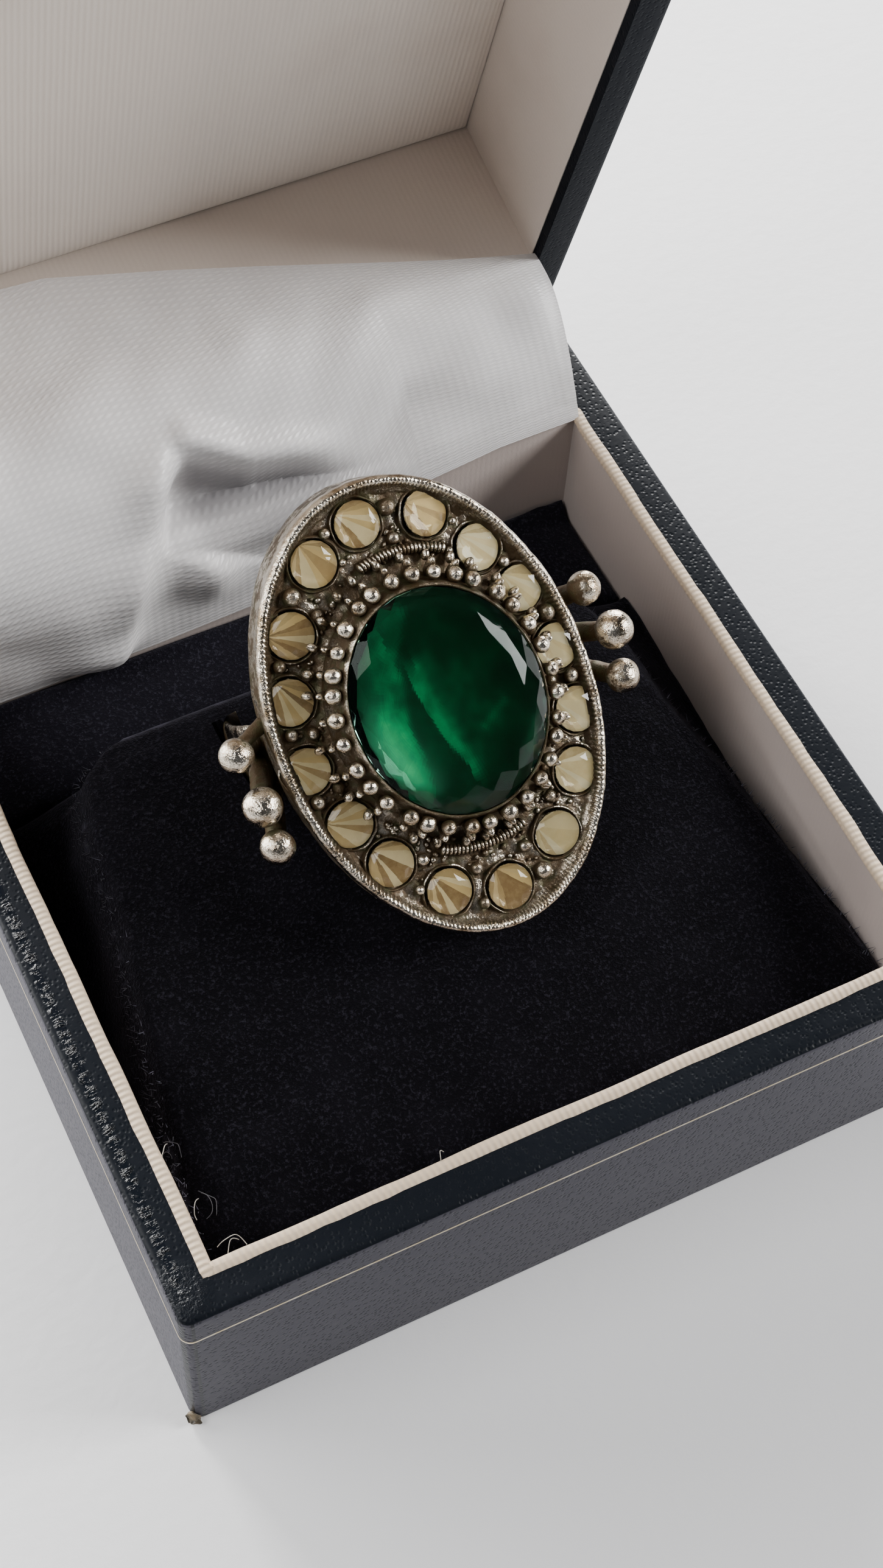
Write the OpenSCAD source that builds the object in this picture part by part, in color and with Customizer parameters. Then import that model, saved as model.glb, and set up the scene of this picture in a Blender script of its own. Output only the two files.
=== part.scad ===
// Adjustable cocktail ring standing in the velvet of an open hinged ring box.
// Origin at the centre of the box's underside, +Y towards the hinge, +Z up.

/* [Box] */
// Width of the box across the hinge
box_w = 54; // [50:0.5:60]
// Depth of the base from its front to the hinge
box_d = 59.66; // [56:0.1:64]
// Height of the base's rim above the surface it stands on
base_h = 16.17; // [15.5:0.1:17]
// Outer depth of the lid
lid_h = 14; // [13:0.1:16]
// How far the lid stands open
lid_open = 74; // [60:1:90]
// Width of the covered rim of the base
rim_w = 2.3; // [1.8:0.05:2.6]
// Thickness of the base's floor
floor_t = 2; // [1.2:0.1:2.4]
// Radius of the box's upright corners
corner_r = 0.8; // [0.5:0.1:2]
// Radius of the covered hinge roll
spine_r = 1; // [0.6:0.1:1.2]

/* [Lining] */
// Thickness of the cream lining card
card_t = 0.7; // [0.6:0.05:1]
// Distance of the base lining's rear wall from the hinge
base_shelf = 9.73; // [9:0.1:11]
// Distance of the lid lining's rear wall from the hinge
lid_shelf = 8.05; // [7.5:0.1:9]
// Width of the lid's rim
lid_rim_w = 2.15; // [2:0.05:2.5]
// Depth of the ribbed panel below the lid's rim
panel_depth = 11.35; // [10.8:0.05:11.6]

/* [Velvet] */
// Height of the raised front pad
pad_h = 14; // [13.6:0.1:14]
// Depth position of the front pad's rear lip
pad_back = 10.3; // [10:0.1:11]
// Height of the low velvet floor behind the pad
rear_h = 7; // [6:0.1:8]
// Space left round the ring's band in the velvet
slot_gap = 0.3; // [0.2:0.05:0.5]

/* [Ring head] */
// Height of the middle of the head's plate above the box's underside
head_z = 24.5; // [24.3:0.1:26]
// Lean of the head towards the front of the box
head_lean = 40.1; // [38:0.1:42]
// Turn of the ring about the upright axis
head_yaw = 6.5; // [0:0.1:10]
// Half the width of the oval head
head_a = 10.45; // [10.35:0.05:10.8]
// Half the length of the oval head
head_b = 14.7; // [14.5:0.1:15]
// Thickness of the head's raised rim
rim_t = 0.7; // [0.5:0.05:0.8]
// Bend radius of the head across the finger
bend_r = 90; // [60:5:120]
// Thickness of the head's plate
plate_t = 1.4; // [1.3:0.1:1.8]

/* [Stones] */
// Half the width of the centre stone
gem_a = 6.1; // [5.9:0.05:6.2]
// Half the length of the centre stone
gem_b = 7.1; // [6.9:0.05:7.2]
// Height of the centre stone's girdle above the plate
gem_z = 2.5; // [2.2:0.1:2.6]
// Number of small round stones round the head
stone_count = 16; // [16:1:16]
// Radius of a small stone at its girdle
stone_r = 1.45; // [1.3:0.05:1.45]
// Tilt of the one small stone that sits loose
loose_tilt = 8; // [0:1:10]

/* [Band] */
// Inner radius of the band
band_r = 8.75; // [8.5:0.05:9]
// Thickness of the band
band_t = 1.15; // [1:0.05:1.3]
// Width of the band
band_w = 4.6; // [4:0.1:5]
// Opening between the band's two free ends
band_gap = 2.5; // [2:0.1:4]

/* [Hidden] */
STONES = ["stone_01", "stone_02", "stone_03", "stone_04", "stone_05", "stone_06", "stone_07", "stone_08",
    "stone_09", "stone_10", "stone_11", "stone_12", "stone_13", "stone_14", "stone_15", "stone_16"];
eps = 0.01;
seat = 0.1;
half_w = box_w / 2;
half_d = box_d / 2;
card_in = rim_w + card_t;
base_wall_y = half_d - base_shelf;
well_half = half_w - card_in - seat;
well_front = -half_d + card_in + seat;
hinge_wall = 2.3;

// Lid values, in the lid's closed frame with the rim plane at z = 0 and the hinge at y = 0
lid_wall = 1.3;
lid_lip = 1;
lid_roof = 1.3;
spine_clear = 0.2;
spine_inset = 2;

// Front pad, one row for each section from the front wall to the rear lip
PAD_ROWS = [
    // y, half width of the flat top, height of the top, height at the side walls
    [well_front, 23.7, 9.2, 9.2],
    [-24, 23.6, 10.2, 9.2],
    [-20, 23, 11.2, 8.8],
    [-14, 22.4, 12.2, 6.8],
    [-8, 21.4, 13, 6],
    [-2, 20.2, pad_h - 0.3, 6],
    [4, 19.6, pad_h, 6.4],
    [8.2, 18.4, pad_h, 6.9],
    [9.6, 16.6, pad_h, 6.9],
    [pad_back, 15.4, pad_h - 0.6, 6.9]];
pad_bevel = 1.1;

// Satin sheet, one row for each station from left to right
APRON_ROWS = [
    // x, height of the hem, reach over the lid's shelf
    [-23.8, 7.4, 11],
    [-16, 7.4, 11],
    [-8, 7.5, 10.6],
    [0, 8, 8.4],
    [6, 10.5, 6.6],
    [12, 14.8, 4.7],
    [18, 15.6, 2.8],
    [23.8, 15.7, 1]];
apron_t = 0.9;

// Ring head values
HEAD_AT = [1.64, -2.85, head_z];
head_roll = -2.9;
rim_top = 0.85;
rim_bottom = -2.6;
side_gap = 5.2;
oval_sides = 64;
row_a = 8.8;
row_b = 12.25;
row_power = 1.86;
stone_seat_r = stone_r + seat;
collar_r = stone_seat_r + 0.25;
collar_h = 0.3;
girdle_z = 0.25;
seat_depth = 0.95;
loose_stone = 13;

// How far each small stone sits from its even place on the row, across and along the head
STONE_SHIFTS = [
    [-0.05, 0], [-0.2, 0.25], [-0.1, -0.05], [0.35, 0.2], [-0.1, -0.1], [0.25, 0.25], [0, -0.05], [0, 0.05],
    [-0.1, -0.15], [0.35, -0.2], [0, 0.2], [-0.1, 0.05], [-0.2, 0], [0.2, 0.2], [0.25, 0.2], [0.2, -0.1]];

// Centre setting values
GEM_AT = [0.2, 0.4];
gem_turn = 4.4;
bezel_t = 0.45;
crown_h = 1.05;
pavilion_h = 3;
bead_count = 33;
bead_r = 0.5;
bead_z = 1.9;
rope_r = 0.3;
rope_beads = 13;
rope_y = 9.35;
rope_spread = 28;

// Band and shoulder values
band_z = -13.3;
// Middles of the balls at their height, right of the head and then left
BALLS = [[12.1, 2.4], [12.95, -0.8], [12.3, -3.7], [-12.45, 2.55], [-12.25, -1], [-12.4, -3.6]];
ball_z = -0.7;
ball_r = 1.1;
arm_r = 0.72;
arm_root = [9.25, 1.35, -9.6];
block_w = 6;

// Outline helpers
function sgnpow(v, e) = sign(v) * pow(abs(v), e);
function oval_points(a, b, sides) = [for (k = [0:sides - 1]) [a * cos(360 * k / sides), b * sin(360 * k / sides)]];
function row_point(t) = [row_a * sgnpow(cos(t), 2 / row_power), row_b * sgnpow(sin(t), 2 / row_power)];
function row_lengths() = [for (k = 0, s = 0; k <= 360; s = s + norm(row_point(k + 1) - row_point(k)), k = k + 1) s];
ROW_LENGTHS = row_lengths();
ROW_LOOKUP = [for (k = [0:360]) [ROW_LENGTHS[k], k]];
function row_at(f) = row_point(lookup(f * ROW_LENGTHS[360], ROW_LOOKUP));

module oval(a, b, low, high, sides = oval_sides) {
    translate([0, 0, low]) linear_extrude(high - low) polygon(oval_points(a, b, sides));
}

module round_block(w, d, low, high, r) {
    translate([0, 0, low]) union() {
        translate([-w / 2 + r, -d / 2, 0]) cube([w - 2 * r, d, high - low]);
        translate([-w / 2, -d / 2 + r, 0]) cube([w, d - 2 * r, high - low]);
        for (x = [-1, 1], y = [-1, 1])
            translate([x * (w / 2 - r), y * (d / 2 - r), 0]) cylinder(r = r, h = high - low, $fn = 32);
    }
}

module rod(p, q, r) {
    v = q - p;
    translate(p) rotate([0, acos(v.z / norm(v)), atan2(v.y, v.x)]) cylinder(r = r, h = norm(v), $fn = 24);
}

// A closed skin through rings of points, all with the same number of points
module loft(rings) {
    n = len(rings[0]);
    m = len(rings);
    points = [for (ring = rings) for (p = ring) p];
    sides = [for (i = [0:m - 2]) for (j = [0:n - 1])
        [(i + 1) * n + j, (i + 1) * n + (j + 1) % n, i * n + (j + 1) % n, i * n + j]];
    caps = [[for (j = [0:n - 1]) j], [for (j = [n - 1:-1:0]) (m - 1) * n + j]];
    polyhedron(points, concat(sides, caps), convexity = 6);
}

// Places the ring's own frame, with its plate facing up, in the box
module in_head() {
    translate(HEAD_AT) rotate([0, 0, head_yaw]) rotate([head_lean, 0, 0]) rotate([0, head_roll, 0]) children();
}

// Places something on the bent plate at a distance across and along the head
module on_plate(p) {
    translate([0, 0, -bend_r]) rotate([0, asin(p.x / bend_r), 0]) translate([0, p.y, bend_r]) children();
}

module bent_layer(low, high) {
    translate([0, head_b + 1, -bend_r]) rotate([90, 0, 0]) difference() {
        cylinder(r = bend_r + high, h = 2 * head_b + 2, $fn = 96);
        translate([0, 0, -eps]) cylinder(r = bend_r + low, h = 2 * head_b + 2 + 2 * eps, $fn = 96);
    }
}

// Places the lid's closed frame at its open angle on the hinge
module in_lid() {
    translate([0, half_d, base_h]) rotate([-lid_open, 0, 0]) children();
}

// The space that the band and its slack take in the velvet
module band_slot() {
    in_head() translate([0, band_w / 2 + slot_gap, band_z]) rotate([90, 0, 0]) difference() {
        cylinder(r = band_r + band_t + slot_gap, h = band_w + 2 * slot_gap, $fn = 96);
        translate([0, 0, -eps])
            cylinder(r = band_r - slot_gap, h = band_w + 2 * slot_gap + 2 * eps, $fn = 96);
    }
}

module base_shell() {
    color("midnightblue") union() {
        difference() {
            round_block(box_w, box_d, 0, base_h, corner_r);
            translate([-half_w + rim_w, -half_d + rim_w, floor_t])
                cube([box_w - 2 * rim_w, box_d - rim_w - hinge_wall, base_h]);
        }
        translate([-half_w + spine_inset, half_d, base_h]) rotate([0, 90, 0])
            cylinder(r = spine_r, h = box_w - 2 * spine_inset, $fn = 32);
    }
}

module base_lining() {
    inner_w = box_w - 2 * card_in;
    front_y = -half_d + card_in;
    color("antiquewhite") difference() {
        translate([-half_w + rim_w, -half_d + rim_w, floor_t])
            cube([box_w - 2 * rim_w, base_wall_y + card_t - (-half_d + rim_w), base_h - floor_t]);
        translate([-inner_w / 2, front_y, floor_t - eps])
            cube([inner_w, base_wall_y - front_y, base_h - floor_t + 2 * eps]);
    }
}

function pad_ring(row) = let (
        side = well_half,
        hw = row[1], top = row[2], wall = min(row[3], row[2] - 0.02),
        bevel = min(pad_bevel, (top - wall) / 2 + 0.01),
        shoulder = min(side - 0.02, hw + pad_bevel))
    [for (p = [[-side, floor_t], [-side, wall], [-shoulder, wall + 0.55 * (top - wall)], [-hw, top - bevel / 2],
            [-hw + pad_bevel, top - 0.01], [0, top], [hw - pad_bevel, top - 0.01], [hw, top - bevel / 2],
            [shoulder, wall + 0.55 * (top - wall)], [side, wall], [side, floor_t]])
        [p.x, row[0], p.y]];

module front_pad() {
    color("#10101c") difference() {
        loft([for (row = PAD_ROWS) pad_ring(row)]);
        band_slot();
    }
}

module rear_pad() {
    front = pad_back + slot_gap;
    color("#16162a") difference() {
        translate([-well_half, front, floor_t])
            cube([2 * well_half, base_wall_y - seat - front, rear_h - floor_t]);
        band_slot();
    }
}

// A point of the open lid, its distance from the hinge along the rim and its depth in the lid
function lid_point(r, u) = [half_d - r * cos(lid_open) + u * sin(lid_open), base_h + r * sin(lid_open) + u * cos(lid_open)];

function apron_path(row) = let (wall = base_wall_y - 0.2, shelf = lid_shelf + 0.3) [
    // place on the inner face, then the way the sheet's thickness goes
    [[wall, row[1]], [-1, 0]],
    [[wall, base_h + 0.2], [-1, 0]],
    [[20.8, 17.2], [-0.88, 0.48]],
    [[22.9, 21.1], [-0.8, 0.6]],
    [[24.9, 23.5], [-0.55, 0.84]],
    [[27, 24.9], [-0.28, 0.96]],
    [lid_point(shelf, max(0.6, 0.5 * row[2])), [-0.28, 0.96]],
    [lid_point(shelf, max(0.9, row[2])), [-0.28, 0.96]]];

function apron_ring(row) = let (path = apron_path(row), n = len(path)) concat(
    [for (p = path) [row[0], p[0].x, p[0].y]],
    [for (k = [n - 1:-1:0]) [row[0], path[k][0].x + apron_t * path[k][1].x, path[k][0].y + apron_t * path[k][1].y]]);

module satin_apron() {
    color("whitesmoke") loft([for (row = APRON_ROWS) apron_ring(row)]);
}

// Rim wall and stone plate of the head, bent across the finger
module head_body() {
    intersection() {
        difference() {
            oval(head_a, head_b, -8, 3);
            oval(head_a - rim_t, head_b - rim_t, -9, 4);
        }
        bent_layer(rim_bottom, rim_top);
    }
    intersection() {
        oval(head_a - 0.03, head_b - 0.03, -8, 3);
        bent_layer(-plate_t, 0);
    }
}

// The middle of a small stone's seat on the plate
function seat_at(k) = row_at(k / stone_count) + STONE_SHIFTS[k];

module stone_collars() {
    for (k = [0:stone_count - 1])
        on_plate(seat_at(k)) translate([0, 0, -0.2]) cylinder(r = collar_r, h = collar_h + 0.2, $fn = 32);
}

module stone_seats() {
    for (k = [0:stone_count - 1])
        on_plate(seat_at(k)) translate([0, 0, -seat_depth]) cylinder(r = stone_seat_r, h = 3, $fn = 32);
}

// Metal beads between the small stones, a large one by the rim and a small one inside
module between_beads() {
    for (k = [0:stone_count - 1]) {
        p = row_at((k + 0.5) / stone_count);
        on_plate(p * 1.05) translate([0, 0, 0.15]) sphere(r = 0.6, $fn = 20);
        on_plate(p * 0.885) translate([0, 0, 0.1]) sphere(r = 0.42, $fn = 20);
    }
}

// Places the centre stone and its cup on the plate
module in_setting() {
    translate([GEM_AT.x, GEM_AT.y, 0]) rotate([0, 0, gem_turn]) children();
}

module centre_setting() {
    cup_a = gem_a + seat + bezel_t;
    cup_b = gem_b + seat + bezel_t;
    in_setting() {
        oval(cup_a, cup_b, -1.2, gem_z + 0.1);
        oval(cup_a + 0.5, cup_b + 0.5, -1.2, 0.8);
        for (k = [0:bead_count - 1]) {
            t = 360 * k / bead_count;
            translate([(cup_a + 0.42) * cos(t), (cup_b + 0.42) * sin(t), bead_z]) sphere(r = bead_r, $fn = 20);
        }
    }
}

// Rows of small grains beyond both ends of the centre setting
module rope_arcs() {
    for (s = [-1, 1], k = [0:rope_beads - 1]) {
        t = 90 * s + rope_spread * (2 * k / (rope_beads - 1) - 1);
        on_plate([rope_y * 0.82 * cos(t), GEM_AT.y + rope_y * sin(t)]) translate([0, 0, 0.12]) sphere(r = rope_r, $fn = 16);
    }
}

module gem_pocket() {
    in_setting() oval(gem_a + seat, gem_b + seat, gem_z - pavilion_h - 0.15, gem_z + 2);
}

module shank() {
    difference() {
        union() {
            translate([0, band_w / 2, band_z]) rotate([90, 0, 0]) cylinder(r = band_r + band_t, h = band_w, $fn = 96);
            translate([-block_w / 2, -band_w / 2, band_z + band_r + band_t - 1])
                cube([block_w, band_w, -plate_t / 2 - (band_z + band_r + band_t - 1)]);
        }
        translate([0, band_w / 2 + eps, band_z]) rotate([90, 0, 0])
            cylinder(r = band_r, h = band_w + 2 * eps, $fn = 96);
        translate([-band_gap / 2, -band_w / 2 - eps, band_z - band_r - band_t - 1])
            cube([band_gap, band_w + 2 * eps, band_t + 2]);
    }
}

// Three balls on stems at each side of the band
module shoulders() {
    for (k = [0:5]) {
        tip = [BALLS[k].x, BALLS[k].y, ball_z];
        row = 1 - k % 3;
        translate(tip) sphere(r = row == 0 ? ball_r + 0.15 : ball_r, $fn = 32);
        rod([sign(tip.x) * arm_root.x, row * arm_root.y, arm_root.z], tip, arm_r);
    }
}

module ring_mount() {
    color("silver") in_head() difference() {
        union() {
            head_body();
            stone_collars();
            between_beads();
            centre_setting();
            rope_arcs();
            shank();
            shoulders();
        }
        stone_seats();
        gem_pocket();
        for (s = [-1, 1]) translate([s * head_a - 1, -side_gap / 2, -0.45]) cube([2, side_gap, 2]);
    }
}

module centre_stone() {
    color("darkgreen") in_head() in_setting() translate([0, 0, gem_z]) hull() {
        oval(gem_a * 0.6, gem_b * 0.6, crown_h - eps, crown_h, 8);
        oval(gem_a * 0.85, gem_b * 0.85, crown_h * 0.62, crown_h * 0.62 + eps, 16);
        oval(gem_a, gem_b, -0.2, 0, 32);
        oval(gem_a * 0.6, gem_b * 0.6, -pavilion_h * 0.62, -pavilion_h * 0.62 + eps, 8);
        oval(gem_a * 0.1, gem_b * 0.25, -pavilion_h, -pavilion_h + eps, 8);
    }
}

module small_stone(k) {
    tilt = k == loose_stone ? loose_tilt : 0;
    color("wheat") in_head() on_plate(seat_at(k)) translate([0, 0, girdle_z]) rotate([tilt, -tilt, 0]) hull() {
        cylinder(r1 = stone_r, r2 = stone_r * 0.56, h = 0.5, $fn = 8);
        translate([0, 0, -0.08]) cylinder(r = stone_r, h = 0.13, $fn = 16);
        translate([0, 0, -0.95]) cylinder(r1 = 0.05, r2 = stone_r * 0.97, h = 0.87, $fn = 8);
    }
}

module lid_shell() {
    color("midnightblue") in_lid() difference() {
        translate([0, -half_d, 0]) round_block(box_w, box_d, 0, lid_h, corner_r);
        translate([-half_w + lid_wall, -box_d + lid_wall, lid_lip])
            cube([box_w - 2 * lid_wall, box_d - 2 * lid_wall, lid_h - lid_roof - lid_lip]);
        translate([-half_w + lid_rim_w, -box_d + lid_rim_w, -eps])
            cube([box_w - 2 * lid_rim_w, box_d - lid_rim_w - lid_wall, lid_lip + 2 * eps]);
        translate([-half_w - eps, 0, 0]) rotate([0, 90, 0])
            cylinder(r = spine_r + spine_clear, h = box_w + 2 * eps, $fn = 32);
    }
}

module lid_lining() {
    outer_w = box_w - 2 * lid_wall - 2 * seat;
    front = -box_d + lid_wall + seat;
    back = -lid_shelf + lid_rim_w - lid_wall;
    high = lid_h - lid_roof;
    inner_w = box_w - 2 * lid_rim_w;
    color("antiquewhite") in_lid() difference() {
        union() {
            translate([-outer_w / 2, front, lid_lip]) cube([outer_w, back - front, high - lid_lip]);
            translate([-inner_w / 2 + seat, -lid_shelf, 0]) cube([inner_w - 2 * seat, back + lid_shelf, lid_lip + eps]);
        }
        translate([-inner_w / 2, -box_d + lid_rim_w, -eps])
            cube([inner_w, box_d - lid_rim_w - lid_shelf, high + 2 * eps]);
    }
}

module lid_panel() {
    w = box_w - 2 * lid_rim_w - 2 * seat;
    color("ivory") in_lid() translate([-w / 2, -box_d + lid_rim_w + seat, panel_depth])
        cube([w, box_d - lid_rim_w - lid_shelf - 2 * seat, lid_h - lid_roof - panel_depth]);
}

base_shell();
base_lining();
front_pad();
rear_pad();
satin_apron();
ring_mount();
centre_stone();
for (k = [0:stone_count - 1]) small_stone(k);
lid_shell();
lid_lining();
lid_panel();
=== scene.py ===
"""An adjustable cocktail ring standing in the velvet of its open ring box.

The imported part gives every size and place. Each sub-assembly here is a class that models its pieces
in millimetres, paints them, brings them to their place in metres and hands them to their body.
"""
import logging
import math
import random
from dataclasses import dataclass, field
from enum import Enum
from typing import Callable, Iterable, Optional, Sequence, Union

import bmesh
import bpy
from mathutils import Matrix, Vector, noise


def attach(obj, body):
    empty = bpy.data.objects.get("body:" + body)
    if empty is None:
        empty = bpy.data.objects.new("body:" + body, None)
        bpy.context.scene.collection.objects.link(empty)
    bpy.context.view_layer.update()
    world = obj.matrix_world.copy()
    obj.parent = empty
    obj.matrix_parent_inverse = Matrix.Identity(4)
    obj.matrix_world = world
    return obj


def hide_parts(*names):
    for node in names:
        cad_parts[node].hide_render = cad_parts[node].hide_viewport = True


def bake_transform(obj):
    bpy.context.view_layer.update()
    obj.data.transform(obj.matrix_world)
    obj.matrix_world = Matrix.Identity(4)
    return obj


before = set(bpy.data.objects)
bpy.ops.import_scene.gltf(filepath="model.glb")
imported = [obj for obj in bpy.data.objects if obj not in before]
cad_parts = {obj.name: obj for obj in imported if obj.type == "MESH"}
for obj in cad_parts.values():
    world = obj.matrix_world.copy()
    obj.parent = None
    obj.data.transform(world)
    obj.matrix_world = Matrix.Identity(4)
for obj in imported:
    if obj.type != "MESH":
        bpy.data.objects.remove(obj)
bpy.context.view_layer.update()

LOG = logging.getLogger("ring_box")
MM = 0.001
UP = Vector((0, 0, 1))
Colour = tuple[float, float, float]
Number = Union[float, "Value"]


class Body(Enum):
    """The moving bodies of the part."""
    BASE = "base"
    LID = "lid"


class Slot(Enum):
    """The record's material slots."""
    METAL = "cast_metal"
    GREEN_GLASS = "green_glass"
    PALE_GLASS = "pale_glass"
    LEATHERETTE = "leatherette"
    RIBBED = "ribbed_cloth"
    VELVET = "velvet"
    SATIN = "satin"


class Shape(Enum):
    """The primitives that pieces start from."""
    CUBE = "cube"
    GRID = "grid"
    CYLINDER = "cylinder"
    CIRCLE = "circle"
    CONE = "cone"
    SPHERE = "uv_sphere"
    ICO = "ico_sphere"
    TORUS = "torus"


class Parts(Enum):
    """What edit mode picks."""
    VERTS = "VERT"
    EDGES = "EDGE"
    FACES = "FACE"


# Modelling tools


def deselect() -> None:
    """Leaves edit mode and lets go of every object."""
    if bpy.context.mode != "OBJECT":
        bpy.ops.object.mode_set(mode="OBJECT")
    bpy.ops.object.select_all(action="DESELECT")


def take(piece: bpy.types.Object) -> None:
    """Makes one object the only selected and active one.

    Args:
        piece: the object to work on.
    """
    deselect()
    piece.select_set(True)
    bpy.context.view_layer.objects.active = piece


def start(shape: Shape, name: str, scale: Sequence[float] = (1, 1, 1),
          **settings: object) -> bpy.types.Object:
    """Adds a primitive at its size and place, in millimetres.

    Args:
        shape: the primitive.
        name: the piece's name.
        scale: what it is stretched by along each axis once it has been turned, about its own middle.
        **settings: the primitive operator's own settings.

    Returns:
        The new object, with its place in its mesh.
    """
    deselect()
    getattr(bpy.ops.mesh, f"primitive_{shape.value}_add")(**settings)
    piece = bpy.context.active_object
    piece.name = piece.data.name = name
    bpy.ops.object.transform_apply(location=False, rotation=True, scale=False)
    piece.scale = scale
    bpy.ops.object.transform_apply(location=True, rotation=True, scale=True)
    return piece


class Edit:
    """Edit mode on one piece, for a `with` block, with its picks made in code."""

    def __init__(self, piece: bpy.types.Object, parts: Parts = Parts.FACES) -> None:
        """Remembers the piece and what is picked in it."""
        self.piece = piece
        self.parts = parts

    def __enter__(self) -> "Edit":
        """Enters edit mode with nothing selected."""
        take(self.piece)
        bpy.ops.object.mode_set(mode="EDIT")
        bpy.ops.mesh.select_mode(type=self.parts.value)
        bpy.ops.mesh.select_all(action="DESELECT")
        return self

    def __exit__(self, *_: object) -> None:
        """Leaves edit mode."""
        bpy.ops.object.mode_set(mode="OBJECT")

    def pick(self, test: Optional[Callable[[object], bool]] = None) -> None:
        """Selects the parts that pass a test, and no others.

        Args:
            test: takes a bmesh vertex, edge or face; without it all parts are selected.
        """
        mesh = bmesh.from_edit_mesh(self.piece.data)
        mesh.normal_update()
        every = {Parts.VERTS: mesh.verts, Parts.EDGES: mesh.edges, Parts.FACES: mesh.faces}[self.parts]
        for one in (mesh.verts, mesh.edges, mesh.faces):
            for part in one:
                part.select = False
        for part in [part for part in every if test is None or test(part)]:
            part.select_set(True)
        mesh.select_flush_mode()
        bmesh.update_edit_mesh(self.piece.data)


def extrude(x: float, y: float, z: float) -> None:
    """Extrudes what is picked in edit mode by a step in millimetres."""
    bpy.ops.mesh.extrude_region_move(TRANSFORM_OT_translate={"value": (x, y, z)})


def bevel(offset: float, segments: int) -> None:
    """Rounds the edges that are picked in edit mode."""
    bpy.ops.mesh.bevel(offset=offset, segments=segments, affect="EDGES")


def turned(degrees: float, axis: str) -> Matrix:
    """A turn about one of the axes X, Y and Z."""
    return Matrix.Rotation(math.radians(degrees), 4, axis)


def drift(x: float, y: float, z: float) -> float:
    """A smooth random number from -1 to 1 at a point."""
    return noise.noise(Vector((x, y, z)))


def dent(at: Vector, scale: float, apart: float, up: float = 0) -> Vector:
    """A smooth random push at a point.

    Args:
        at: the point.
        scale: how close together the dents are.
        apart: how far the patterns of the three directions lie from each other.
        up: how strong its upward part is.

    Returns:
        The push, up to 1 long each way.
    """
    return Vector((noise.noise(at * scale), noise.noise(at * scale + UP * apart),
                   up * noise.noise(at * scale - UP * apart)))


def refine(piece: bpy.types.Object, kind: str, **settings: object) -> None:
    """Adds a modifier and applies it.

    Args:
        piece: the object that gets it.
        kind: the modifier's type.
        **settings: the modifier's own values.
    """
    take(piece)
    modifier = piece.modifiers.new(kind.title(), kind)
    for key, value in settings.items():
        setattr(modifier, key, value)
    bpy.ops.object.modifier_apply(modifier=modifier.name)


def join(pieces: Sequence[bpy.types.Object], name: str) -> bpy.types.Object:
    """Joins objects to one piece.

    Args:
        pieces: the objects.
        name: the joined piece's name.

    Returns:
        The joined object.
    """
    deselect()
    for piece in pieces:
        piece.select_set(True)
    bpy.context.view_layer.objects.active = pieces[0]
    if len(pieces) > 1:
        bpy.ops.object.join()
    whole = bpy.context.active_object
    whole.name = whole.data.name = name
    return whole


def copy_of(piece: bpy.types.Object, name: str, matrix: Matrix) -> bpy.types.Object:
    """Copies a piece with a mesh of its own.

    Args:
        piece: what is copied.
        name: the copy's name.
        matrix: moves the copy's mesh.

    Returns:
        The copy.
    """
    twin = bpy.data.objects.new(name, piece.data.copy())
    twin.data.transform(matrix)
    bpy.context.scene.collection.objects.link(twin)
    return twin


def remove(piece: bpy.types.Object) -> None:
    """Deletes a pattern piece that was only there to be copied."""
    bpy.data.objects.remove(piece, do_unlink=True)


def shift(piece: bpy.types.Object, move: Callable[[Vector], Vector]) -> None:
    """Moves each vertex of a piece in code, as a sculpting brush would.

    Args:
        piece: the object whose mesh changes.
        move: gives a vertex's new place from its old one.
    """
    for vertex in piece.data.vertices:
        vertex.co = move(vertex.co.copy())
    piece.data.update()


def smooth(piece: bpy.types.Object, degrees: float = 40) -> None:
    """Shades a piece smooth but keeps its hard edges.

    Args:
        piece: the object.
        degrees: the angle from which an edge stays sharp.
    """
    take(piece)
    bpy.ops.object.shade_smooth_by_angle(angle=math.radians(degrees))


def outward(piece: bpy.types.Object, reach: float = 0.0001) -> None:
    """Merges doubles and turns every face of a closed piece outwards.

    Args:
        piece: the object.
        reach: how near two vertices are before they merge.
    """
    with Edit(piece, Parts.VERTS) as work:
        work.pick()
        bpy.ops.mesh.remove_doubles(threshold=reach)
        bpy.ops.mesh.normals_make_consistent(inside=False)


def lay_weave(piece: bpy.types.Object, crosswise: Optional[Callable[[Vector], bool]] = None) -> None:
    """Gives a piece a map in millimetres, laid on each face from the side it looks to, for cloth and grain.

    Args:
        piece: a bench piece whose threads run along its own axes.
        crosswise: tells from the middle of a flat-lying face whether its threads run the other way.
    """
    mesh = piece.data
    layer = mesh.uv_layers.new(name="Weave")
    flat = {0: (1, 2), 1: (0, 2), 2: (0, 1)}
    for face in mesh.polygons:
        sides = [abs(part) for part in face.normal]
        first, second = flat[sides.index(max(sides))]
        if (first, second) == (0, 1) and crosswise is not None and crosswise(face.center):
            first, second = 1, 0
        for corner in face.loop_indices:
            place = mesh.vertices[mesh.loops[corner].vertex_index].co
            layer.data[corner].uv = (place[first], place[second])


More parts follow.
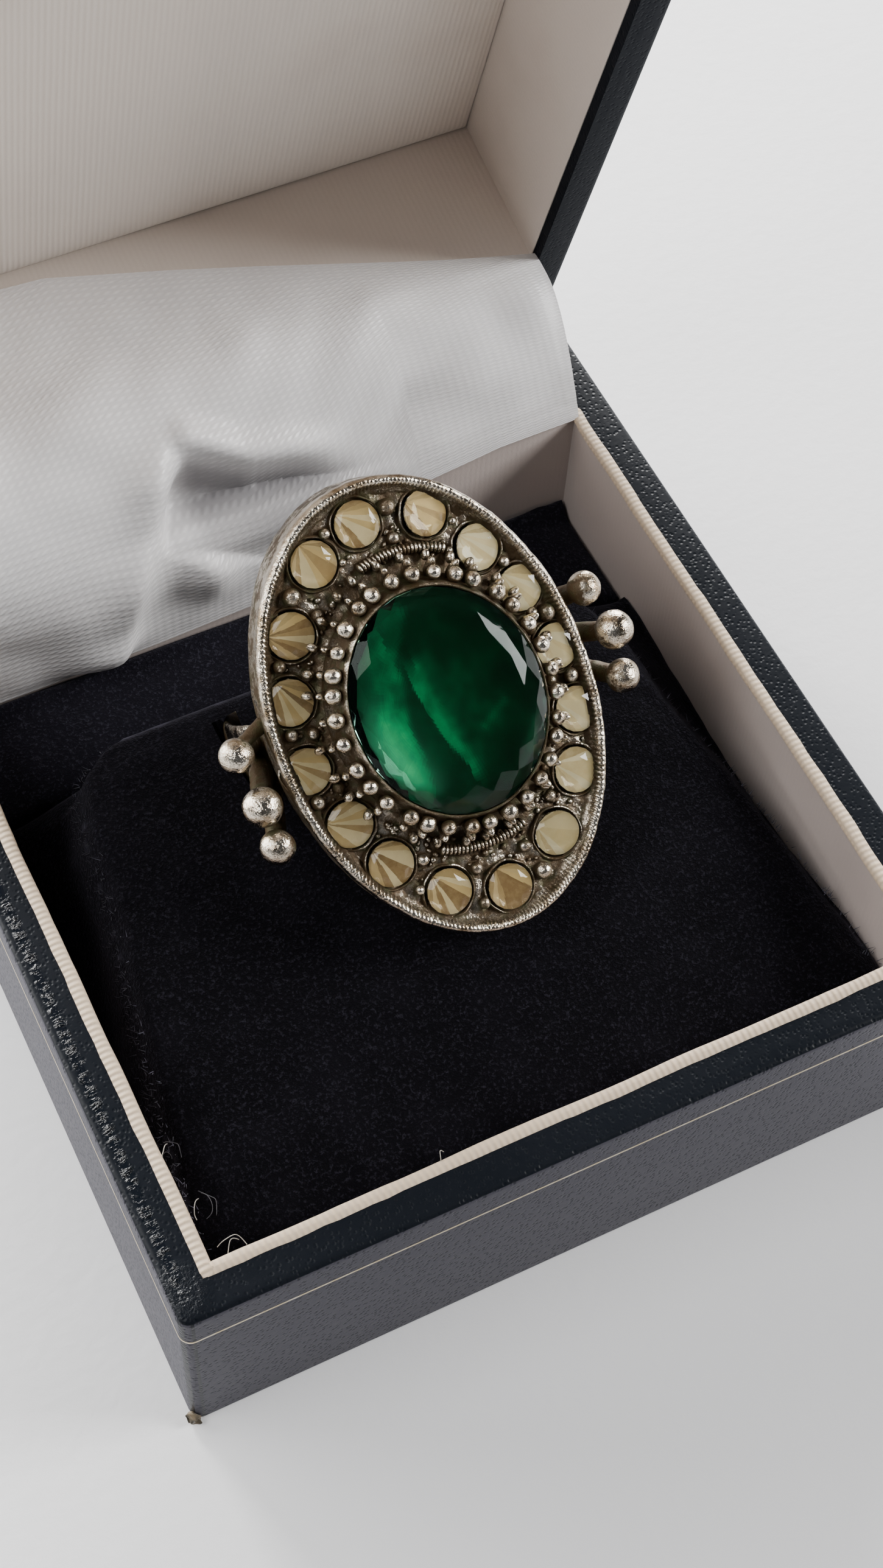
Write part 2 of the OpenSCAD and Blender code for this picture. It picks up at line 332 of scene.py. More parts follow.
def deliver(piece: bpy.types.Object, body: Body, nodes: Iterable[str] = (),
            matrix: Matrix = Matrix.Identity(4)) -> None:
    """Brings a finished bench piece to its place and hands it to its body.

    Args:
        piece: the object, in millimetres in its own sub-assembly's frame.
        body: the body it rides on.
        nodes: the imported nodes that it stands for.
        matrix: the sub-assembly's place in the box, in millimetres.
    """
    piece.data.transform(Matrix.Scale(MM, 4) @ matrix)
    piece.data.update()
    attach(piece, body.value)
    if nodes:
        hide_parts(*nodes)
    LOG.info("%s: %d faces on %s", piece.name, len(piece.data.polygons), body.value)


# Painting tools


class Value:
    """A number from a node, with Python's own arithmetic."""

    def __init__(self, paint: "Paint", socket: bpy.types.NodeSocket) -> None:
        """Wraps a node's output."""
        self.paint = paint
        self.socket = socket

    def _math(self, operation: str, first: Number, second: Number = 0.0) -> "Value":
        """Adds a Math node on two numbers."""
        return self.paint.node("ShaderNodeMath", {"operation": operation}, {0: first, 1: second})

    def __add__(self, other: Number) -> "Value":
        """Adds."""
        return self._math("ADD", self, other)

    __radd__ = __add__

    def __sub__(self, other: Number) -> "Value":
        """Takes away."""
        return self._math("SUBTRACT", self, other)

    def __rsub__(self, other: Number) -> "Value":
        """Takes this away from a number."""
        return self._math("SUBTRACT", other, self)

    def __mul__(self, other: Number) -> "Value":
        """Multiplies."""
        return self._math("MULTIPLY", self, other)

    __rmul__ = __mul__

    def sine(self) -> "Value":
        """The sine of the number, in radians."""
        return self._math("SINE", self)

    def smaller(self, other: Number) -> "Value":
        """The smaller of two."""
        return self._math("MINIMUM", self, other)

    def span(self, low: float, high: float) -> "Value":
        """Zero at low, one at high, smooth between and flat beyond them."""
        return self.paint.node("ShaderNodeMapRange", {"interpolation_type": "SMOOTHSTEP"},
                               {"Value": self, "From Min": low, "From Max": high})


class Paint:
    """A material being mixed, which ends in one Principled shader."""

    def __init__(self, name: str) -> None:
        """Starts a bare material of that name."""
        self.material = bpy.data.materials.new(name)
        self.material.use_nodes = True
        self.tree = self.material.node_tree
        self.tree.nodes.clear()
        self.shader = self.tree.nodes.new("ShaderNodeBsdfPrincipled")
        end = self.tree.nodes.new("ShaderNodeOutputMaterial")
        self.tree.links.new(self.shader.outputs[0], end.inputs["Surface"])

    def node(self, kind: str, settings: Optional[dict] = None, inputs: Optional[dict] = None,
             output: Union[int, str] = 0) -> Value:
        """Adds a node.

        Args:
            kind: the node's type.
            settings: its own settings, set before its sockets.
            inputs: values or links for its sockets, by name or number.
            output: which output is wanted.

        Returns:
            That output, as a value.
        """
        made = self.tree.nodes.new(kind)
        for key, setting in (settings or {}).items():
            setattr(made, key, setting)
        for key, given in (inputs or {}).items():
            if isinstance(given, Value):
                self.tree.links.new(given.socket, made.inputs[key])
            else:
                made.inputs[key].default_value = given
        return Value(self, made.outputs[output])

    def place(self) -> Value:
        """The point on the object, in millimetres."""
        spot = self.node("ShaderNodeTexCoord", output="Object")
        return self.vector("SCALE", spot, scale=1 / MM)

    def weave(self) -> Value:
        """The point on the piece's own map, in millimetres."""
        return self.node("ShaderNodeUVMap", {"uv_map": "Weave"})

    def mark(self, name: str) -> Value:
        """A number that the piece carries on its own mesh."""
        return self.node("ShaderNodeAttribute", {"attribute_name": name}, output="Fac")

    def tint(self, name: str) -> Value:
        """A colour that the piece carries on its own mesh."""
        return self.node("ShaderNodeAttribute", {"attribute_name": name}, output="Color")

    def vector(self, operation: str, first: object, second: object = (0, 0, 0), scale: float = 1) -> Value:
        """Adds a Vector Math node and gives its vector."""
        inputs = {0: first, "Scale": scale} if operation == "SCALE" else {0: first, 1: second}
        return self.node("ShaderNodeVectorMath", {"operation": operation}, inputs)

    def part(self, spot: Value, axis: str) -> Value:
        """One of a vector's X, Y and Z."""
        return self.node("ShaderNodeSeparateXYZ", inputs={"Vector": spot}, output=axis)

    def noise(self, size: float, detail: float = 2, rough: float = 0.5, at: Optional[Value] = None) -> Value:
        """Cloudy noise from 0 to 1, with patches of a size in millimetres."""
        return self.node("ShaderNodeTexNoise", inputs={
            "Vector": at or self.place(), "Scale": 1 / size, "Detail": detail, "Roughness": rough})

    def hidden(self, reach: float) -> Value:
        """One in the open and less in hollows, as far as a reach in millimetres."""
        return self.node("ShaderNodeAmbientOcclusion", {"samples": 8}, {"Distance": reach * MM}, "AO")

    def cells(self, size: float) -> Value:
        """Distance from the middles of random cells of a size in millimetres."""
        return self.node("ShaderNodeTexVoronoi", inputs={"Vector": self.place(), "Scale": 1 / size},
                         output="Distance")

    def mix(self, share: Number, first: object, second: object) -> Value:
        """Mixes two colours."""
        pair = [(*c, 1) if isinstance(c, tuple) and len(c) == 3 else c for c in (first, second)]
        return self.node("ShaderNodeMix", {"data_type": "RGBA", "clamp_result": True},
                         {0: share, 6: pair[0], 7: pair[1]}, 2)

    def relief(self, height: Value, depth: float, strength: float = 1,
               under: Optional[Value] = None) -> Value:
        """A bump from a height of 0 to 1, that deep in millimetres."""
        inputs = {"Height": height, "Distance": depth * MM, "Strength": strength}
        if under is not None:
            inputs["Normal"] = under
        return self.node("ShaderNodeBump", inputs=inputs)

    def done(self, **sockets: object) -> bpy.types.Material:
        """Sets the shader's sockets, with underscores for the spaces in their names.

        Returns:
            The finished material.
        """
        for key, given in sockets.items():
            socket = self.shader.inputs[key.replace("_", " ")]
            if isinstance(given, Value):
                self.tree.links.new(given.socket, socket)
            elif isinstance(given, tuple) and len(given) == 3 and socket.type == "RGBA":
                socket.default_value = (*given, 1)
            else:
                socket.default_value = given
        return self.material


def dress(piece: bpy.types.Object, material: bpy.types.Material) -> None:
    """Gives a piece its material."""
    piece.data.materials.clear()
    piece.data.materials.append(material)


# Finishes


@dataclass(frozen=True)
class Leatherette:
    """Dark navy paper leather with a fine pitted grain, paler on its worn corners and, as painted light, on its
    walls.
    """
    name: str = "navy_leatherette"
    deep: Colour = (0.003, 0.005, 0.008)
    # The paler colour, for worn places and for walls painted paler as painted light.
    worn: Colour = (0.058, 0.056, 0.071)
    grain: float = 0.32
    wrinkle: Optional[tuple[float, float, float]] = None
    pitch: float = 0.95
    matt: float = 0.0
    shine: float = 0.17

    def paint(self) -> bpy.types.Material:
        """Mixes the material, with the pulled wrinkles along one edge where its place is given."""
        p = Paint(self.name)
        pores = p.cells(self.grain)
        creases = p.noise(0.55, 4, 0.6)
        patches = p.noise(9, 3)
        # How much paler: real wear, and painted light where the walls are painted paler than the top.
        paleness = p.mark("wear_and_light").span(0.0, 1.4)
        shade = (paleness * (1.15 + 0.5 * p.noise(1.1, 3, 0.7)) + 0.08 * patches).smaller(1.0)
        pitted = 1 - pores.span(0.16, 0.4)
        colour = p.mix((shade * (1.15 - 0.6 * pitted)).smaller(1.0), self.deep, self.worn)
        normal = p.relief((pores.span(0.1, 0.5) * 0.8 + creases * 0.5) * (0.35 + 0.9 * paleness), 0.1, 0.8)
        rough = (0.32 + self.matt) + 0.14 * creases + 0.2 * paleness
        if self.wrinkle:
            x, y, z = self.wrinkle
            spot = p.place()
            across, along, up = (p.part(spot, axis) for axis in "XYZ")
            wander = p.noise(2.2, 2)
            ripple = ((along + 1.6 * wander) * (2 * math.pi / self.pitch)).sine() * 0.5 + 0.5
            broken = p.noise(0.42, 3, 0.7, p.vector("MULTIPLY", spot, (0.6, 1.4, 1)))
            inside = across - x
            edge = (inside.span(0.45, 0.8) * (1 - inside.span(0.9, 1.4)) * (up - z).span(-0.5, -0.15)
                    * (along - y).span(-0.5, 1.5))
            corner = (x + 0.9, y + 0.6, z)
            away = p.node("ShaderNodeVectorMath", {"operation": "DISTANCE"}, {0: spot, 1: corner}, 1)
            fold = 1 - away.span(1.0, 2.2)
            tucks = p.noise(0.7, 3, 0.8)
            normal = p.relief(edge * ripple * broken.span(0.48, 0.64) + 0.5 * fold * tucks, 0.4, 1.0, normal)
            rough = rough - 0.22 * edge
        return p.done(Base_Color=colour, Roughness=rough, Normal=normal, Specular_IOR_Level=self.shine)


@dataclass(frozen=True)
class Gilding:
    """The thin tooled gold line."""
    gold: Colour = (0.62, 0.5, 0.3)
    pale: Colour = (0.7, 0.66, 0.58)

    def paint(self) -> bpy.types.Material:
        """Mixes the material."""
        p = Paint("gilt_line")
        paleness = p.noise(0.9, 4, 0.7)
        colour = p.mix(paleness.span(0.35, 0.75), self.gold, self.pale)
        return p.done(Base_Color=colour, Metallic=0.6, Roughness=(0.3 + 0.3 * paleness),
                      Normal=p.relief(p.noise(0.12), 0.02))


@dataclass(frozen=True)
class RibbedCloth:
    """Cream lining cloth with fine ribs along its map's second axis."""
    name: str = "ribbed_cloth"
    pale: Colour = (0.78, 0.7, 0.63)
    deep: Colour = (0.5, 0.41, 0.35)
    rib: float = 0.4
    strength: float = 1
    edge: Optional[tuple[float, float]] = None
    cream: Colour = (0.74, 0.58, 0.41)

    def paint(self) -> bpy.types.Material:
        """Mixes the material."""
        p = Paint(self.name)
        across = p.part(p.weave(), "X")
        wander = p.noise(3, 2) * 0.5
        ridge = ((across + wander * 0.12) * (2 * math.pi / self.rib)).sine() * 0.5 + 0.5
        threads = p.noise(0.16, 2)
        stain = p.noise(14, 3)
        dull = 0.22 * self.strength * (1 - ridge) + 0.3 * stain.span(0.45, 0.8) + 0.1 * threads
        colour = p.mix(dull.smaller(1.0), self.pale, self.deep)
        normal = p.relief(ridge * 0.8 * self.strength + threads * 0.35, 0.05, 0.8)
        if self.edge:
            rolled = p.part(p.place(), "Z").span(*self.edge)
            colour = p.mix(rolled, colour, p.mix(0.25 * (1 - ridge), self.cream, self.deep))
            normal = p.relief(rolled * ridge, 0.06, 0.7, normal)
        return p.done(Base_Color=colour, Roughness=(0.62 + 0.15 * ridge), Normal=normal,
                      Sheen_Weight=0.25, Sheen_Roughness=0.4)


@dataclass(frozen=True)
class Velvet:
    """Near-black navy velvet, with a lighter colour painted along its marked top edges as the highlight where
    its nap turns away.
    """
    name: str = "navy_velvet"
    deep: Colour = (0.0024, 0.0022, 0.0032)
    nap: Colour = (0.034, 0.032, 0.045)
    # The lighter colour painted on the marked top edges as a highlight.
    open_nap: Colour = (0.075, 0.072, 0.1)

    def paint(self) -> bpy.types.Material:
        """Mixes the material."""
        p = Paint(self.name)
        pile = p.noise(0.22, 3, 0.7)
        brushed = p.noise(5, 3, 0.6)
        # Painted highlight: the marked top edges are mixed towards the lighter nap colour.
        edge = p.mark("ridge").span(0.15, 1.0)
        share = (0.05 * brushed.span(0.4, 0.7) + 0.45 * pile.span(0.5, 0.72)).smaller(1.0)
        colour = p.mix((edge * (0.3 + pile)).smaller(1.0), p.mix(share, self.deep, self.nap), self.open_nap)
        return p.done(Base_Color=colour, Roughness=0.95, Specular_IOR_Level=0.05,
                      Sheen_Weight=0.12, Sheen_Roughness=0.4, Sheen_Tint=(0.5, 0.48, 0.6),
                      Normal=p.relief(pile, 0.16, 0.9))


@dataclass(frozen=True)
class Satin:
    """White satin with a fine slanting twill, darkened in its hollows and beside its fold as painted shade."""
    white: Colour = (0.95, 0.94, 0.94)
    shade: Colour = (0.6, 0.575, 0.585)
    twill: float = 0.42
    slant: float = -0.85
    # The dark colour that the painted shade mixes towards.
    dimmer: Colour = (0.2, 0.19, 0.2)
    reach: float = 5

    def paint(self) -> bpy.types.Material:
        """Mixes the material."""
        p = Paint("white_satin")
        weave = p.weave()
        along = p.part(weave, "X") * math.cos(self.slant) + p.part(weave, "Y") * math.sin(self.slant)
        ridge = (along * (2 * math.pi / self.twill)).sine() * 0.5 + 0.5
        cloud = p.noise(7, 2)
        dots = ridge * (p.part(weave, "Y") * (2 * math.pi / (self.twill * 1.3))).sine().span(-1.0, 0.6)
        colour = p.mix((0.34 * (1 - dots) + 0.2 * cloud.span(0.4, 0.8)).smaller(1.0), self.white, self.shade)
        # Painted shade: darker where the sheet lies in hollows and where its mark beside the fold is high.
        open_to = p.hidden(self.reach)
        painted_shade = 0.25 * (1 - open_to.span(0.3, 0.8)) + 0.62 * p.mark("fold_shade")
        colour = p.mix(painted_shade.smaller(1.0), colour, self.dimmer)
        return p.done(Base_Color=colour, Roughness=(0.42 - 0.12 * dots), Normal=p.relief(dots, 0.035, 0.8),
                      Sheen_Weight=0.2, Sheen_Roughness=0.3, Specular_IOR_Level=0.5)


@dataclass(frozen=True)
class Silver:
    """Antique silver-toned casting: bright where it is rubbed, pitted, and brown in its hollows."""
    bright: Colour = (0.84, 0.76, 0.63)
    dull: Colour = (0.34, 0.25, 0.15)
    tarnish: Colour = (0.075, 0.046, 0.02)
    olive: Colour = (0.07, 0.062, 0.026)
    reach: float = 1.1

    def paint(self) -> bpy.types.Material:
        """Mixes the material, darker where the piece's own mark for tarnish and painted shade is high."""
        p = Paint("antique_silver")
        open_to = p.hidden(self.reach)
        cloud = p.noise(1.3, 4, 0.7)
        pits = p.noise(0.3, 3, 0.75)
        fine = p.noise(0.13, 2, 0.6)
        # Hollows take real tarnish; the piece's own mark adds tarnish and, on the band and balls, painted
        # shade.
        tarnish_and_shade_sum = (1 - open_to.span(0.35, 1.0)) + 1.4 * (cloud - 0.5) + 0.9 * (0.5 - pits) + p.mark("tarnish_and_shade")
        dark_share = tarnish_and_shade_sum.span(0.26, 0.62)
        colour = p.mix(cloud.span(0.4, 0.7), self.bright, self.dull)
        colour = p.mix(dark_share, colour, p.mix(p.noise(0.8, 3).span(0.45, 0.65), self.tarnish, self.olive))
        rough = 0.1 + 0.08 * pits + 0.36 * dark_share
        return p.done(Base_Color=colour, Metallic=(1 - 0.5 * dark_share), Roughness=rough,
                      Normal=p.relief(pits * 0.8 + cloud * 0.5 + fine * 0.3, 0.09, 0.85))


@dataclass(frozen=True)
class Glass:
    """Cut glass of one colour."""
    name: str
    colour: Colour
    ior: float = 1.52
    ripple: float = 0.01
    gloss: Colour = (0.8, 0.8, 0.8)

    def paint(self) -> bpy.types.Material:
        """Mixes the material."""
        p = Paint(self.name)
        scuffs = p.noise(0.5, 4, 0.7).span(0.55, 0.8)
        colour = p.mix(0.08 * scuffs, self.colour, (0.8, 0.8, 0.78))
        return p.done(Base_Color=colour, Roughness=(0.02 + 0.1 * scuffs),
                      Normal=p.relief(p.noise(1.1, 2), self.ripple), Transmission_Weight=1.0, IOR=self.ior,
                      Specular_Tint=self.gloss)


@dataclass(frozen=True)
class Foil:
    """The painted back of a stone, with its own tone on each small face; the tones paint in its facets' light
    and dark.
    """
    name: str
    shade: Colour
    cloud: float = 0.25
    shine: float = 0.3

    def paint(self) -> bpy.types.Material:
        """Mixes the material."""
        p = Paint(self.name)
        milk = p.noise(0.45, 4, 0.7).span(0.35, 0.75)
        colour = p.mix(self.cloud * milk, p.tint("tone"), self.shade)
        return p.done(Base_Color=colour, Metallic=self.shine, Roughness=0.4)


@dataclass(frozen=True)
class Fluff:
    """Loose fibres of one colour."""
    name: str
    colour: Colour
    dimmer: Colour

    def paint(self) -> bpy.types.Material:
        """Mixes the material."""
        p = Paint(self.name)
        colour = p.mix(p.noise(0.8, 2).span(0.35, 0.65), self.colour, self.dimmer)
        return p.done(Base_Color=colour, Roughness=0.8, Sheen_Weight=0.2)


@dataclass(frozen=True)
class Paper:
    """The white surface under the box."""
    white: Colour = (0.83, 0.83, 0.84)

    def paint(self) -> bpy.types.Material:
        """Mixes the material."""
        p = Paint("pale_floor")
        grain = p.noise(1.2, 4, 0.6)
        return p.done(Base_Color=p.mix(0.12 * grain, self.white, (0.7, 0.7, 0.72)), Roughness=0.7,
                      Normal=p.relief(grain, 0.05, 0.5))


# The stage


@dataclass
class Stage:
    """The photograph's camera, the soft lights and the pale floor."""
    eye: Vector = Vector((-40.02, -77.58, 151.56))
    right: Vector = Vector((0.89759, -0.43911, 0.03894))
    down: Vector = Vector((-0.35357, -0.76985, -0.53134))
    ahead: Vector = Vector((0.26329, 0.46315, -0.84627))
    lens: float = 57.53
    film: float = 36
    floor_side: float = 1600
    sky: Colour = (0.8, 0.84, 0.92)
    sky_power: float = 0.1
    target: Vector = Vector((0, 0, 10))
    lights: tuple = (("back_window", (-48, 544, 136), 280, 13.7, (1.0, 0.99, 0.97)),
                     ("left_window", (-382, 382, 155), 380, 4.4, (1.0, 0.99, 0.97)),
                     ("far_window", (291, 466, 117), 240, 6.0, (1.0, 0.99, 0.98)),
                     ("right_panel", (521, -190, 330), 260, 4.9, (1.0, 0.99, 0.98)),
                     ("top_panel", (-345, 0, 451), 300, 1.7, (1.0, 1.0, 1.0)))

    def build(self) -> None:
        """Sets up the camera, the lights, the world and the floor."""
        self._camera()
        for row in self.lights:
            self._light(*row)
        self._world()
        self._floor()

    def _camera(self) -> None:
        """Makes the camera from its measured place and axes."""
        data = bpy.data.cameras.new("photo_camera")
        data.sensor_width = self.film
        data.lens = self.lens
        data.clip_start = 0.01
        data.clip_end = 5
        camera = bpy.data.objects.new("photo_camera", data)
        bpy.context.scene.collection.objects.link(camera)
        turn = Matrix((self.right, -self.down, -self.ahead)).transposed()
        camera.matrix_world = Matrix.Translation(self.eye * MM) @ turn.to_4x4()
        bpy.context.scene.camera = camera

    def _light(self, name: str, place: Sequence[float], side: float, power: float, colour: Colour) -> None:
        """Adds a square soft light.

        Args:
            name: the light's name.
            place: its middle, in millimetres.
            side: its width, in millimetres.
            power: its power, in watts.
            colour: its colour.
        """
        data = bpy.data.lights.new(name, "AREA")
        data.size = side * MM
        data.energy = power
        data.color = colour
        lamp = bpy.data.objects.new(name, data)
        bpy.context.scene.collection.objects.link(lamp)
        lamp.location = Vector(place) * MM
        lamp.rotation_euler = (Vector(place) - self.target).to_track_quat("Z", "Y").to_euler()

    def _world(self) -> None:
        """Gives the surroundings an even pale light."""
        world = bpy.data.worlds.new("studio")
        world.use_nodes = True
        back = world.node_tree.nodes["Background"]
        back.inputs["Color"].default_value = (*self.sky, 1)
        back.inputs["Strength"].default_value = self.sky_power
        bpy.context.scene.world = world

    def _floor(self) -> None:
        """Lays the pale floor under the box."""
        floor = start(Shape.GRID, "floor", x_subdivisions=4, y_subdivisions=4, size=self.floor_side,
                      location=(0, 0, 0))
        dress(floor, Paper().paint())
        floor.data.transform(Matrix.Scale(MM, 4))


# The box


@dataclass
class BoxSizes:
    """The box's own sizes in millimetres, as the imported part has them."""
    width: float = 54
    depth: float = 59.66
    base_high: float = 16.17
    lid_high: float = 14
    lid_open: float = 74
    rim: float = 2.3
    card: float = 0.7
    floor: float = 2
    corner: float = 0.8
    hinge_wall: float = 2.3
    spine: float = 1
    base_shelf: float = 9.73
    lid_shelf: float = 8.05
    lid_rim: float = 2.15
    lid_wall: float = 1.3
    panel: float = 11.35
    lip: float = 0.8

    @property
    def half_w(self) -> float:
        """Half the width."""
        return self.width / 2

    @property
    def half_d(self) -> float:
        """Half the depth, where the hinge is."""
        return self.depth / 2

    @property
    def wall_y(self) -> float:
        """The inner face of the base lining's rear wall."""
        return self.half_d - self.base_shelf

    @property
    def lid_place(self) -> Matrix:
        """Brings the lid's closed frame, rim plane at z 0 and hinge at y 0, to where it stands open."""
        return Matrix.Translation((0, self.half_d, self.base_high)) @ turned(-self.lid_open, "X")


def mark_wear_and_light(piece: bpy.types.Object, amount: Callable[[Vector, Vector], float]) -> None:
    """Writes how much paler each face of a covered piece is, for wear and for painted light.

    Args:
        piece: a bench piece.
        amount: gives how much paler a face is from its middle and normal, 0 for not at all.
    """
    marks = piece.data.attributes.new("wear_and_light", "FLOAT", "FACE")
    for face, mark in zip(piece.data.polygons, marks.data):
        mark.value = amount(face.center, face.normal)


def covered_block(name: str, size: Sequence[float], middle: Sequence[float], corner: float, low: float,
                  high: float) -> bpy.types.Object:
    """Models a block of covered card, with its upright corners, lower edges and upper edges rounded.

    Args:
        name: the piece's name.
        size: its width, depth and height.
        middle: where its middle is.
        corner: the radius of its upright corners.
        low: the radius of its lower edges.
        high: the radius of its upper edges.

    Returns:
        The block.
    """
    block = start(Shape.CUBE, name, size, size=1, location=middle)
    floor, top = middle[2] - size[2] / 2, middle[2] + size[2] / 2
    with Edit(block, Parts.EDGES) as work:
        work.pick(lambda e: abs((e.verts[0].co - e.verts[1].co).z) > 1)
        bevel(corner, 6)
        work.pick(lambda e: all(v.co.z > top - 0.01 for v in e.verts))
        bevel(high, 5)
        work.pick(lambda e: all(v.co.z < floor + 0.01 for v in e.verts))
        bevel(low, 5)
    return block


def sink(block: bpy.types.Object, size: Sequence[float], middle: Sequence[float]) -> None:
    """Sinks a square well into a block.

    Args:
        block: the block.
        size: the well's width, depth and height.
        middle: where its middle is.
    """
    well = start(Shape.CUBE, "well", size, size=1, location=middle)
    refine(block, "BOOLEAN", operation="DIFFERENCE", solver="EXACT", object=well)
    remove(well)


@dataclass
class BoxBase:
    """The covered base with its hinge roll, gilt line and lining."""
    sizes: BoxSizes
    line_drop: float = 2.77
    line_wide: float = 0.16

    def build(self) -> None:
        """Makes the base's pieces."""
        s = self.sizes
        worn_edge = (-s.half_w, -s.half_d + 1.5, s.base_high)
        leather = Leatherette("navy_leatherette_base", wrinkle=worn_edge).paint()
        cover = join([self._cover(), self._roll()], "base_cover")
        mark_wear_and_light(cover, self._wear_and_light)
        dress(cover, leather)
        smooth(cover, 50)
        deliver(cover, Body.BASE, ["base_shell"])
        line = self._line()
        dress(line, Gilding().paint())
        deliver(line, Body.BASE)
        lining = self._lining()
        # The base's lining is the lid's cream cloth painted darker, as painted shade for the well.
        ribbed = RibbedCloth("ribbed_cloth_base_shaded", pale=(0.57, 0.49, 0.455), deep=(0.31, 0.25, 0.23),
                             strength=0.12,
                             edge=(s.base_high - 0.35, s.base_high - 0.15))
        dress(lining, ribbed.paint())
        deliver(lining, Body.BASE, ["base_lining"])

    def _cover(self) -> bpy.types.Object:
        """Models the covered tray with its well."""
        s = self.sizes
        block = covered_block("cover", (s.width, s.depth, s.base_high), (0, 0, s.base_high / 2),
                              s.corner, 0.25, 0.42)
        sink(block, (s.width - 2 * s.rim, s.depth - s.rim - s.hinge_wall, s.base_high),
             (0, (s.rim - s.hinge_wall) / 2, s.floor + s.base_high / 2))
        return block

    def _roll(self) -> bpy.types.Object:
        """Models the covered hinge roll along the rear edge."""
        s = self.sizes
        roll = start(Shape.CYLINDER, "roll", vertices=40, radius=s.spine, depth=s.width - 4,
                     location=(0, s.half_d, s.base_high), rotation=(0, math.pi / 2, 0))
        with Edit(roll, Parts.EDGES) as work:
            work.pick(lambda e: len({round(v.co.x, 3) for v in e.verts}) == 1)
            bevel(0.2, 3)
        return roll

    def _wear_and_light(self, spot: Vector, normal: Vector) -> float:
        """Paler on the walls than on the rim's flat top, as painted light, and paler still on the worn front
        corners.
        """
        s = self.sizes
        if normal.z > 0.5 or spot.z > s.base_high - 0.2:
            return 0.0
        if abs(spot.x) > s.half_w - s.corner and spot.y < -s.half_d + s.corner and abs(normal.x) < 0.98:
            return 1.4 if 0.2 < abs(normal.x) < 0.75 else 0.1
        return 0.7

    def _line(self) -> bpy.types.Object:
        """Models the tooled gold line as a thin raised band round three walls."""
        s = self.sizes
        z = s.base_high - self.line_drop
        band = start(Shape.CUBE, "gilt_line", (s.width + 0.03, s.depth + 0.03, self.line_wide), size=1,
                     location=(0, 0, z))
        with Edit(band, Parts.EDGES) as work:
            work.pick(lambda e: abs((e.verts[0].co - e.verts[1].co).z) > self.line_wide / 2)
            bevel(s.corner, 6)
        with Edit(band) as work:
            work.pick(lambda f: abs(f.normal.z) > 0.9)
            bpy.ops.mesh.inset(thickness=0.2)
            bpy.ops.mesh.bridge_edge_loops()
        return band

    def _lining(self) -> bpy.types.Object:
        """Models the card lining, whose covered edge is round."""
        s = self.sizes
        low, high = s.floor, s.base_high
        front, back = -s.half_d + s.rim, s.wall_y + s.card
        frame_box = start(Shape.CUBE, "base_lining_cloth", (s.width - 2 * s.rim, back - front, high - low),
                          size=1, location=(0, (front + back) / 2, (low + high) / 2))
        with Edit(frame_box) as work:
            work.pick(lambda f: f.normal.z > 0.9)
            bpy.ops.mesh.inset(thickness=s.card)
            extrude(0, 0, low - high + 0.05)
        with Edit(frame_box, Parts.EDGES) as work:
            work.pick(lambda e: all(v.co.z > high - 0.01 for v in e.verts) and not e.is_boundary)
            bevel(s.card * 0.48, 5)
            work.pick(lambda e: (e.verts[0].co - e.verts[1].co).length > 30)
            bpy.ops.mesh.subdivide(number_cuts=47)

        def waver(spot: Vector) -> Vector:
            """Lets the covered edge wander a little, as glued cloth does."""
            x, y = spot.x, spot.y
            side = 0.13 * drift(x * 0.16, y * 0.16, 3) + 0.03 * drift(x, y, 7)
            walls = ((abs(x) - s.half_w + s.rim + s.card / 2, Vector((math.copysign(1, x), 0, 0))),
                     (front + s.card / 2 - y, Vector((0, -1, 0))), (y - back + s.card / 2, Vector((0, 1, 0))))
            wide, axis = max(walls, key=lambda wall: wall[0])
            roll = axis * math.copysign(0.13, wide) * ease(0.0, 0.2, abs(wide)) + UP * 0.1
            wander = Vector((side, side * 0.8, 0.05 * drift(x * 0.5, y * 0.5, 1)))
            return spot + (roll + wander) * ease(high - 1.2, high - 0.3, spot.z)

        shift(frame_box, waver)
        lay_weave(frame_box, lambda spot: abs(spot.x) > s.half_w - s.rim - s.card)
        smooth(frame_box, 50)
        return frame_box


